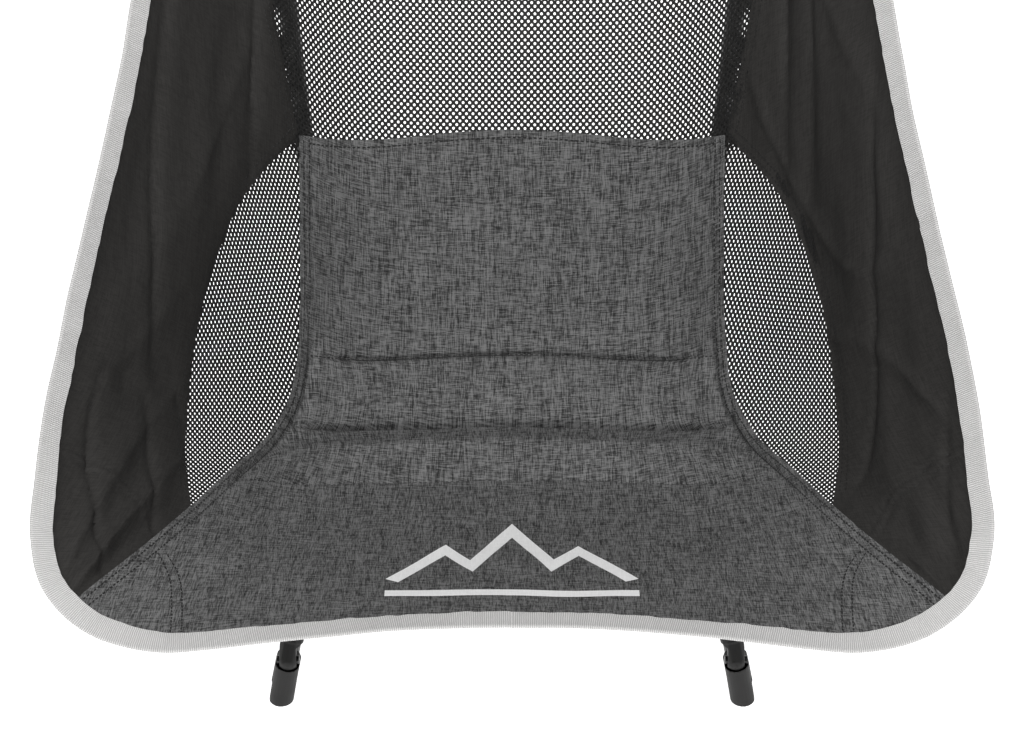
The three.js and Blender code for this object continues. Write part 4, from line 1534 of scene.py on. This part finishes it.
@dataclass
class PolePocket(ClothWork):
    """A cloth pocket on the sling's underside, drawn over one pole tip like a short sleeve.

    Each section is a round bottom under the tip and two sides that run up to the sling. The sections
    shrink to a rounded end past the tip.
    """

    cap: bpy.types.Object
    node: str
    guess: tuple[float, float]
    flare: float = 0.007
    curl: float = 1.6
    stations: int = 17
    taper_from: float = 0.72
    taper_reach: float = 0.3

    def ceiling(self, u: Array, s: Array) -> Array:
        """Height of the lowest cloth over the pocket, less half a millimetre.

        Args:
            u: places across the sling.
            s: places up the sling.

        Returns:
            Heights in metres.
        """
        if s.mean() > 0.5:
            return np.full_like(u, -0.0016)
        seat = SeatPanel(self.finishes)
        side = SidePanel(self.finishes, sign=math.copysign(1.0, self.guess[0]))
        grey = seat.lift + seat.relief(u, s) - seat.thickness
        black = side.lift + side.relief(np.abs(u), s) + arc_ridge(u, s) - side.thickness
        return np.minimum(grey, black) - 0.0005

    def build(self) -> bpy.types.Object:
        """Makes the pocket round the axis of its CAD node.

        Returns:
            The piece.
        """
        cad = node_points(self.cap)
        centre, axis = long_axis(cad)
        t = (cad - centre) @ axis
        radius = np.linalg.norm((cad - centre) - np.outer(t, axis), axis=1).max()
        if (SLING.point(*np.array(self.guess)) - centre) @ axis < 0:
            axis = -axis
            t = -t
        share = np.linspace(0, 1, self.stations)
        line = centre + np.outer(t.min() + (t.max() - t.min()) * share, axis)
        past = np.clip(share - self.taper_from, 0, 1) / self.taper_reach
        shrink = np.sqrt(np.clip(1 - past**2, 0, 1))
        u, s = SLING.nearest(line, np.full(len(line), self.guess[0]), np.full(len(line), self.guess[1]))
        upward = unit(SLING.point(u, s) - line)
        side = unit(np.cross(axis, upward))
        lanes = []
        for reach in np.linspace(-1, 1, 9):
            target = SLING.point(u, s) + side * reach * ((radius + self.flare) * shrink)[:, None]
            place = SLING.nearest(target, u, s)
            lanes.append(SLING.off(*place, self.ceiling(*place)))
        lid = np.stack(lanes, axis=1)
        angle = np.radians(np.linspace(0, -180, 13))
        round_part = line[:, None] + (radius * shrink)[:, None, None] * (
            side[:, None] * np.cos(angle)[:, None] + upward[:, None] * np.sin(angle)[:, None])
        climb = np.linspace(0, 1, 6)[1:, None]
        pinch = side[:, None] * self.flare * (climb - climb**self.curl) * shrink[:, None, None]
        left = round_part[:, -1:] * (1 - climb) + lid[:, :1] * climb + pinch
        right = round_part[:, :1] * (1 - climb) + lid[:, -1:] * climb - pinch
        rings = np.concatenate([right[:, ::-1], round_part, left, lid[:, 1:-1]], axis=1)
        obj = capped_tube(f"{self.node}_cloth", rings, mapped=True)
        return self.settle(obj, self.finishes.black_cloth, Slot.BLACK_CLOTH, self.node)


@dataclass
class Stitching(ClothWork):
    """Rows of single stitches: short threads that taper to both ends, spaced evenly along a line."""

    pitch: float = 0.0036
    length: float = 0.0026
    radius: float = 0.00036

    def row(self, u: Array, s: Array, height: Array | float) -> tuple[Array, Array]:
        """Stitches along one line of the sling.

        Args:
            u: the line's u.
            s: the line's s.
            height: of the thread's middle over the plain surface.

        Returns:
            Vertices and triangles.
        """
        line = SLING.off(u, s, height)
        total = run_length(line)
        places = np.arange(self.pitch / 2, total[-1], self.pitch)
        behind, centre, ahead = (
            np.stack([np.interp(places + step, total, line[:, k]) for k in range(3)], -1)
            for step in (-0.0005, 0, 0.0005)
        )
        travel = unit(ahead - behind)
        normal = SLING.normal(np.interp(places, total, u), np.interp(places, total, s))
        side = unit(np.cross(normal, travel))
        angle = np.arange(5) * 2 * math.pi / 5
        circle = side[:, None] * np.cos(angle)[:, None] + normal[:, None] * np.sin(angle)[:, None] * 0.7
        reach = travel[:, None] * self.length
        rings = [centre[:, None] + reach * t + circle * self.radius for t in (-0.3, 0.3)]
        tips = [centre[:, None] + reach * t - normal[:, None] * self.radius for t in (-0.5, 0.5)]
        points = np.concatenate([tips[0], *rings, tips[1]], axis=1)
        i = np.arange(5)
        j = (i + 1) % 5
        first = np.stack([np.zeros(5, int), 1 + j, 1 + i], -1)
        middle = np.concatenate([np.stack([1 + i, 1 + j, 6 + j], -1), np.stack([1 + i, 6 + j, 6 + i], -1)])
        last = np.stack([np.full(5, 11), 6 + i, 6 + j], -1)
        pattern = np.concatenate([first, middle, last])
        faces = (pattern[None] + 12 * np.arange(len(places))[:, None, None]).reshape(-1, 3)
        return points.reshape(-1, 3), faces

    def build(
        self, name: str, lines: list[tuple[Array, Array, Array]], material: bpy.types.Material, slot: Slot
    ) -> bpy.types.Object:
        """Joins rows of stitches into one piece.

        Args:
            name: the name it gets.
            lines: each row's u, s and height.
            material: the finish.
            slot: the record's slot.

        Returns:
            The piece.
        """
        points, faces, count = [], [], 0
        for line in lines:
            vertices, triangles = self.row(*line)
            points.append(vertices)
            faces.append(triangles + count)
            count += len(vertices)
        obj = make_object(name, np.concatenate(points), [np.concatenate(faces)])
        return self.settle(obj, material, slot)


@dataclass
class PeakMark(ClothWork):
    """A plain printed outline of three peaks over a rule, on the front of the seat."""

    centre: float = 0.107
    stroke: float = 0.0095
    peaks: tuple[tuple[float, float], ...] = (
        (-0.076, -0.034), (-0.043, 0.020), (-0.026, -0.008), (0.0, 0.058),
        (0.026, -0.008), (0.043, 0.020), (0.076, -0.034),
    )
    rule: tuple[tuple[float, float], ...] = ((-0.080, -0.056), (0.080, -0.056))

    def ribbon(self, line: Array, panel: SeatPanel) -> tuple[Array, Array, Array]:
        """A strip of ink along a line on the flat cloth, with mitred bends.

        Args:
            line: points on the flat cloth.
            panel: the cloth under it, for its relief.

        Returns:
            Upper grid, lower grid and their places on the flat cloth.
        """
        run = unit(np.diff(line, axis=0))
        across = np.stack([-run[:, 1], run[:, 0]], -1)
        mitre = unit(np.concatenate([across[:1], across[:-1] + across[1:], across[-1:]]))
        mitre /= np.concatenate([[1.0], (mitre[1:-1] * across[1:]).sum(-1), [1.0]])[:, None]
        edges = [line + mitre * self.stroke / 2 * side for side in (-1, 1)]
        fine = np.linspace(0, len(line) - 1, 16 * (len(line) - 1) + 1)
        knots = np.arange(len(line))
        lanes = [np.stack([np.interp(fine, knots, e[:, k]) for k in range(2)], -1) for e in edges]
        cross = np.linspace(0, 1, 4)[:, None, None]
        grid = lanes[1][None] * cross + lanes[0][None] * (1 - cross)
        u, s = SLING.from_cloth(grid[..., 0], grid[..., 1])
        base = panel.lift + panel.relief(u, s)
        return SLING.off(u, s, base + 0.00022), SLING.off(u, s, base - 0.0002), grid

    def build(self, panel: SeatPanel) -> bpy.types.Object:
        """Makes the mark from the peaks' outline and the rule under it.

        Args:
            panel: the cloth under it, for its relief.

        Returns:
            The piece.
        """
        lines = (np.array(line) + (0.0, self.centre) for line in (self.peaks, self.rule))
        parts = [slab(f"mark_{k}", *self.ribbon(line, panel)) for k, line in enumerate(lines)]
        mark = parts[0]
        with bpy.context.temp_override(active_object=mark, object=mark, selected_editable_objects=parts):
            bpy.ops.object.join()
        mark.name = "peak_mark"
        return self.settle(mark, self.finishes.print, Slot.MELANGE)


@dataclass
class SlingWork(ClothWork):
    """The whole sling: panels, meshes, tape, band, pad, stitching and mark."""

    proud: float = 0.0003

    def side_rows(self, sign: float, panel: SidePanel) -> list[tuple[Array, Array, Array]]:
        """Rows on a black panel: beside the crescent and the back mesh, and the pocket's double arc.

        Args:
            sign: 1 on the right and -1 on the left.
            panel: the cloth under it, for its relief.

        Returns:
            Each row's u, s and height.
        """
        rows = []
        for seam, start in ((CRESCENT_SEAM, 0.24), (BACK_SEAM, 0.672)):
            s = np.linspace(start, min(seam[-1, 0], 0.925), 160)
            for distance in (-0.0035, -0.0085):
                u, moved = SLING.beside(seam_u(seam, s), s, distance)
                rows.append((u, moved))
        for distance in (0.0, ROW_GAP):
            u, s = arc_line(distance)
            rows.append((u[s > 0.165], s[s > 0.165]))
        return [(sign * u, s, panel.lift + panel.relief(u, s) + arc_ridge(u, s)) for u, s in rows]

    def seat_rows(self, panel: SeatPanel) -> list[tuple[Array, Array, Array]]:
        """Rows on the grey panel: two inside each side edge, the cross seams, the top hem, the arcs.

        Args:
            panel: the cloth under it, for its relief.

        Returns:
            Each row's u, s and height.
        """
        rows = []
        s = np.linspace(0.075, 0.664, 260)
        for distance in (0.0032, 0.0082):
            u, moved = SLING.beside(seam_u(SEAT_SEAM, s), s, distance)
            rows += [(u, moved), (-u, moved)]
        for k in range(3):
            reach = (0.515, 0.53, 0.60)[k]
            u = np.linspace(-reach, reach, 200)
            rows.append((u, panel.seam_s(k, u)))
        u = np.linspace(-0.57, 0.57, 200)
        rows.append((u, panel_top(u) - 0.005))
        for distance in (0.0, ROW_GAP):
            u, s = arc_line(distance)
            low = (s < 0.14) & (s > -0.004)
            rows += [(u[low], s[low]), (-u[low], s[low])]
        return [(u, s, panel.lift + panel.relief(u, s) + self.proud) for u, s in rows]

    def meshes(self) -> list[tuple[bpy.types.Object, bpy.types.Object, bpy.types.Object]]:
        """Each side's half of the back mesh, its doubled side hem and its crescent.

        Returns:
            The three pieces of each side.
        """

        def on_back(u: Array, s: Array) -> Array:
            """Between the side panels, above the seat panel and below the head band."""
            side = np.abs(u) < seam_u(BACK_SEAM, s) + 0.022
            return side & (s > panel_top(u) - 0.009) & (s < HEAD_FOOT + 0.010)

        def on_hem(u: Array, s: Array) -> Array:
            """Beside the side panels only."""
            side = seam_u(BACK_SEAM, s)
            return on_back(u, s) & (np.abs(u) > side - 0.042)

        top = float(SLING.upward(np.array(HEAD_FOOT + 0.02)))
        foot = float(SLING.upward(np.array(BACK_SEAM[0, 0] - 0.02)))
        reach = 0.26
        made = []
        for side, sign in SIDES:

            def on_half(u: Array, s: Array) -> Array:
                """One side's half, with the cells on the middle line in the left one."""
                return on_back(u, s) & ((u - 0.001) * sign > 0)

            box = (-reach, foot, reach, top)
            half = Lattice(self.finishes).build(f"back_mesh_net_{side}", on_half, box)
            self.settle(half, self.finishes.mesh, Slot.BLACK_MESH, "back_mesh")

            def on_side_hem(u: Array, s: Array) -> Array:
                """One side's hem."""
                return on_hem(u, s) & (u * sign > 0)

            box = (min(0, sign * reach), foot, max(0, sign * reach), top)
            doubled = Lattice(self.finishes, lift=0.0003, thickness=0.0004, hole=(0.00112, 0.00124))
            hem = doubled.build(f"back_mesh_hem_{side}", on_side_hem, box, 0.13 * sign)
            self.settle(hem, self.finishes.mesh, Slot.BLACK_MESH)

            def on_crescent(u: Array, s: Array) -> Array:
                """Between the seat panel and the side panel."""
                inner, outer = seam_u(SEAT_SEAM, s) - 0.020, seam_u(CRESCENT_SEAM, s) + 0.020
                return (u * sign > inner) & (u * sign < outer) & (s > 0.216) & (s < 0.672)

            box = (min(0, sign * 0.3), 0.12, max(0, sign * 0.3), foot + 0.03)
            net = Lattice(self.finishes, lift=-0.0009)
            crescent = net.build(f"side_mesh_net_{side}", on_crescent, box, -0.32 * sign)
            self.settle(crescent, self.finishes.mesh, Slot.BLACK_MESH, f"side_mesh_{side}")
            made.append((half, hem, crescent))
        return made

    def build(self) -> None:
        """Makes the sling."""
        seat = SeatPanel(self.finishes)
        panel = seat.build()
        tape = EdgeTape(self.finishes).build()
        band = HeadBand(self.finishes)
        band_cloth = band.build()
        pad = SeatPad(self.finishes).build(seat)
        mark = PeakMark(self.finishes).build(seat)
        seat_sewing = Stitching(self.finishes, radius=0.0005).build(
            "seat_stitching", self.seat_rows(seat), self.finishes.dark_thread, Slot.MELANGE)
        for side, sign in SIDES:
            side_panel = SidePanel(self.finishes, sign=sign, name=side)
            cloth = side_panel.build()
            rows = Stitching(self.finishes).build(
                f"side_stitching_{side}", self.side_rows(sign, side_panel), self.finishes.black_thread,
                Slot.BLACK_CLOTH)
        for half, hem, crescent in self.meshes():
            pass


# ---- hard pieces -----------------------------------------------------------------------------


def node_points(node: bpy.types.Object) -> Array:
    """A CAD node's vertices.

    Args:
        node: the CAD node's name.

    Returns:
        Vertices, one row each.
    """
    points = np.empty(len(node.data.vertices) * 3, np.float32)
    node.data.vertices.foreach_get("co", points)
    return points.reshape(-1, 3).astype(float)


def long_axis(points: Array) -> tuple[Array, Array]:
    """A turned piece's centre line, as a point and a unit vector: the direction of greatest spread.

    Args:
        points: vertices, one row each.

    Returns:
        The centre and the axis.
    """
    unique = np.unique(np.round(points, 6), axis=0)
    centre = (unique.max(0) + unique.min(0)) / 2
    return centre, np.linalg.svd(unique - unique.mean(0), full_matrices=False)[2][0]


# u and s of the cloth over the right pockets
POCKET_PLACES = {"seat_pocket": (0.83, 0.10), "back_pocket": (0.895, 0.97)}


@dataclass
class HardParts:
    """The metal and moulded pieces: finer copies of the CAD nodes, each with its finish."""

    finishes: Finishes
    nodes: dict[str, bpy.types.Object]
    node_body: dict[str, str]

    def settle(
        self, obj: bpy.types.Object, material: bpy.types.Material, slot: Slot, node: str
    ) -> bpy.types.Object:
        """Dresses a piece that stands for one node and sets it on that node's body."""
        return settle(obj, self.node_body[node], material, slot, node)

    def copy(self, node: str, suffix: str) -> bpy.types.Object:
        """A merged copy of a CAD node's mesh under a new name, free of any parent.

        Args:
            node: the CAD node's name.
            suffix: what the copy's name ends with.

        Returns:
            The copy.
        """
        mesh = self.nodes[node].data.copy()
        obj = bpy.data.objects.new(f"{node}_{suffix}", mesh)
        bpy.context.scene.collection.objects.link(obj)
        work = bmesh.new()
        work.from_mesh(mesh)
        bmesh.ops.remove_doubles(work, verts=work.verts, dist=2e-5)
        work.to_mesh(mesh)
        work.free()
        return obj

    def turned(
        self, node: str, material: bpy.types.Material, slot: Slot, facets: int = 12, bevel: float = 0.0004
    ) -> bpy.types.Object:
        """A turned CAD piece made truly round.

        The copy's corners are bevelled, its faces are cut fine, and each vertex moves out by
        cos(a) / cos(half a facet), where a is its angle from the facet's middle. That carries the
        flat facets onto the circle through their corners.

        Args:
            node: the CAD node.
            material: the piece's finish.
            slot: the record's slot.
            facets: the sides of the CAD solid.
            bevel: width of the rounded corners.

        Returns:
            The piece.
        """
        obj = self.copy(node, "round")
        centre, axis = long_axis(node_points(self.nodes[node]))
        work = bmesh.new()
        work.from_mesh(obj.data)
        bmesh.ops.dissolve_limit(work, angle_limit=math.radians(1), verts=work.verts, edges=work.edges)
        corners = [
            e for e in work.edges if len(e.link_faces) == 2 and e.calc_face_angle() > math.radians(40)
        ]
        if bevel:
            bmesh.ops.bevel(work, geom=corners, offset=bevel, segments=2, profile=0.5, affect="EDGES",
                            clamp_overlap=True)
        around = [e for e in work.edges
                  if abs((e.verts[1].co - e.verts[0].co).normalized().dot(Vector(axis))) < 0.2]
        bmesh.ops.subdivide_edges(work, edges=around, cuts=4, use_grid_fill=True)
        work.to_mesh(obj.data)
        work.free()
        points = node_points(obj)
        first = unit(np.cross(axis, [0.0, 0.0, 1.0] if abs(axis[2]) < 0.9 else [1.0, 0.0, 0.0]))
        second = np.cross(axis, first)
        cad = node_points(self.nodes[node]) - centre
        off_axis = np.hypot(cad @ first, cad @ second) > 1e-3
        spokes = np.arctan2(cad @ second, cad @ first)[off_axis]
        facet = 2 * math.pi / facets
        phase = np.angle(np.exp(1j * spokes * facets).mean()) / facets
        off = points - centre
        x, y, t = off @ first, off @ second, off @ axis
        radius, angle = np.hypot(x, y), np.arctan2(y, x)
        from_middle = (angle - phase) % facet - facet / 2
        radius = radius * np.cos(from_middle) / math.cos(facet / 2)
        ring = centre + np.outer(t, axis) + np.outer(radius * np.cos(angle), first)
        ring += np.outer(radius * np.sin(angle), second)
        obj.data.vertices.foreach_set("co", ring.astype(np.float32).ravel())
        obj.data.update()
        obj.data.polygons.foreach_set("use_smooth", np.ones(len(obj.data.polygons), bool))
        obj.data.set_sharp_from_angle(angle=math.radians(28))
        return self.settle(obj, material, slot, node)

    def moulded(
        self, node: str, material: bpy.types.Material, slot: Slot, voxel: float = 0.0009, smooth: int = 6
    ) -> bpy.types.Object:
        """A carved CAD piece with the soft corners of a moulding: remeshed finely, then smoothed.

        Args:
            node: the CAD node's name.
            material: the finish.
            slot: the record's slot.
            voxel: the remesh's grain, in metres.
            smooth: how many rounds of smoothing it gets.

        Returns:
            The piece.
        """
        obj = self.copy(node, "moulded")
        remesh = obj.modifiers.new("remesh", "REMESH")
        remesh.mode = "VOXEL"
        remesh.voxel_size = voxel
        remesh.use_smooth_shade = True
        soften = obj.modifiers.new("soften", "SMOOTH")
        soften.factor = 0.5
        soften.iterations = smooth
        done = bpy.data.meshes.new_from_object(obj.evaluated_get(bpy.context.evaluated_depsgraph_get()))
        obj.modifiers.clear()
        obj.data = done
        return self.settle(obj, material, slot, node)

    def spring(self, node: str) -> bpy.types.Object:
        """A coil spring: a round wire on a helix, with the end turns closed.

        The radius and reach come from the CAD node's box along the strut; the wire's size is given.

        Args:
            node: the CAD node's name.

        Returns:
            The piece.
        """
        wire, turns, steps, sides = 0.0013, 7, 40, 12
        cad = node_points(self.nodes[node])
        centre, axis = long_axis(cad)
        if axis[2] > 0:
            axis = -axis
        t = (cad - centre) @ axis
        start, end = t.min() + wire, t.max() - wire
        radius = np.linalg.norm((cad - centre) - np.outer(t, axis), axis=1).max() - wire
        share = np.linspace(0, 1, turns * steps + 1)
        eased = np.interp(share, [0, 1 / turns, 1 - 1 / turns, 1], [0, 0.05, 0.95, 1])
        first = unit(np.cross(axis, [1.0, 0.0, 0.0]))
        second = np.cross(axis, first)
        angle = 2 * math.pi * turns * share
        out = np.outer(np.cos(angle), first) + np.outer(np.sin(angle), second)
        line = centre + out * radius + np.outer(start + (end - start) * eased, axis)
        travel = unit(np.gradient(line, axis=0))
        up = np.cross(travel, out)
        around = np.arange(sides) * 2 * math.pi / sides
        circle = out[:, None] * np.cos(around)[:, None] + up[:, None] * np.sin(around)[:, None]
        obj = capped_tube(f"{node}_coil", line[:, None] + wire * circle)
        self.settle(obj, self.finishes.steel, Slot.STEEL, node)
        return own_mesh(obj)

    def build(self) -> None:
        """Makes every tube, moulding, pin and spring."""
        for node in self.nodes:
            kind = node.removesuffix("_left").removesuffix("_right")
            if kind.endswith(TUBE_ENDINGS):
                self.turned(node, self.finishes.tube, Slot.TUBE)
            elif kind.endswith("pole_tip") or kind == "strut_gland":
                self.turned(node, self.finishes.nylon, Slot.NYLON, bevel=0.0)
            elif kind.endswith("pocket"):
                sign = -1.0 if node.endswith("left") else 1.0
                u, s = POCKET_PLACES[kind]
                PolePocket(self.finishes, self.nodes[node], node, (sign * u, s)).build()
            elif kind.endswith("pin"):
                facets = 12 if kind == "rock_pin" else 8
                self.turned(node, self.finishes.dark_steel, Slot.STEEL, facets=facets, bevel=0.0003)
            elif kind in ("leg_end", "front_shoe"):
                self.moulded(node, self.finishes.nylon, Slot.NYLON, voxel=0.0005, smooth=8)
            elif kind in ("hub", "rear_foot", "strut_yoke"):
                self.moulded(node, self.finishes.nylon, Slot.NYLON)
            elif kind == "strut_rod":
                self.moulded(node, self.finishes.steel, Slot.STEEL, voxel=0.0007, smooth=4)
        for side, _ in SIDES:
            self.spring(f"strut_spring_{side}")


# ---- stage -----------------------------------------------------------------------------------


@dataclass
class Studio:
    """Camera, soft lights and a pale floor."""

    target: tuple[float, float, float] = (0.0, -0.122, 0.38)
    distance: float = 2.35
    elevation: float = 38.0
    lens: float = 130.08

    def camera(self) -> None:
        """The camera, level and straight in front of the chair, looking down at the seat."""
        data = bpy.data.cameras.new("camera")
        data.lens = self.lens
        data.sensor_width = 36.0
        obj = bpy.data.objects.new("camera", data)
        tilt = math.radians(self.elevation)
        obj.location = Vector(self.target) + self.distance * Vector((0, -math.cos(tilt), math.sin(tilt)))
        obj.rotation_euler = (math.radians(90) - tilt, 0, 0)
        bpy.context.scene.collection.objects.link(obj)
        bpy.context.scene.camera = obj

    def light(self, name: str, place: tuple[float, float, float], size: float, power: float) -> None:
        """A square soft box aimed at the seat.

        Args:
            name: the name it gets.
            place: where it stands.
            size: the length of its side, in metres.
            power: its strength, in watts.
        """
        data = bpy.data.lights.new(name, "AREA")
        data.shape = "SQUARE"
        data.size = size
        data.energy = power
        obj = bpy.data.objects.new(name, data)
        obj.location = place
        obj.rotation_euler = (Vector(self.target) - Vector(place)).to_track_quat("-Z", "Y").to_euler()
        bpy.context.scene.collection.objects.link(obj)

    def floor(self) -> None:
        """A wide pale floor that fades to white."""
        reach = 30.0
        grid = reach * np.array([(-1, -1, 0), (1, -1, 0), (1, 1, 0), (-1, 1, 0)], float)
        floor = make_object("floor", grid, [np.array([[0, 1, 2, 3]])])
        finish = Finish("pale_floor", "Object")
        tone = finish.graph.noise(finish.place, 3.0)
        colour = finish.graph.mix(tone, shade(0.88), shade(0.92))
        glow = {"Emission_Color": shade(1.0), "Emission_Strength": 1.2}
        floor.data.materials.append(finish.dress(Base_Color=colour, Roughness=0.9, **glow))

    def build(self) -> None:
        """Sets the stage."""
        self.camera()
        self.floor()
        self.light("key", (-0.7, -1.65, 2.9), 1.4, 54.0)
        self.light("fill", (0.8, -1.65, 2.8), 1.4, 42.0)
        world = bpy.data.worlds.new("studio")
        bpy.context.scene.world = world
        world.use_nodes = True
        background = world.node_tree.nodes["Background"]
        background.inputs["Color"].default_value = (1, 1, 1, 1)
        background.inputs["Strength"].default_value = 0.14
        bpy.context.scene.view_settings.view_transform = "Standard"


def main() -> None:
    """Loads the frame and builds the chair's looks around it."""
    logging.basicConfig(level=logging.INFO, format="%(name)s: %(message)s")
    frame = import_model()
    bodies = frame["record"]["behaviour"]["bodies"]
    node_body = {node: body for body, nodes in bodies.items() for node in nodes}
    Studio().build()
    finishes = Finishes()
    SlingWork(finishes).build()
    HardParts(finishes, frame["nodes"], node_body).build()


if __name__ == "__main__":
    main()
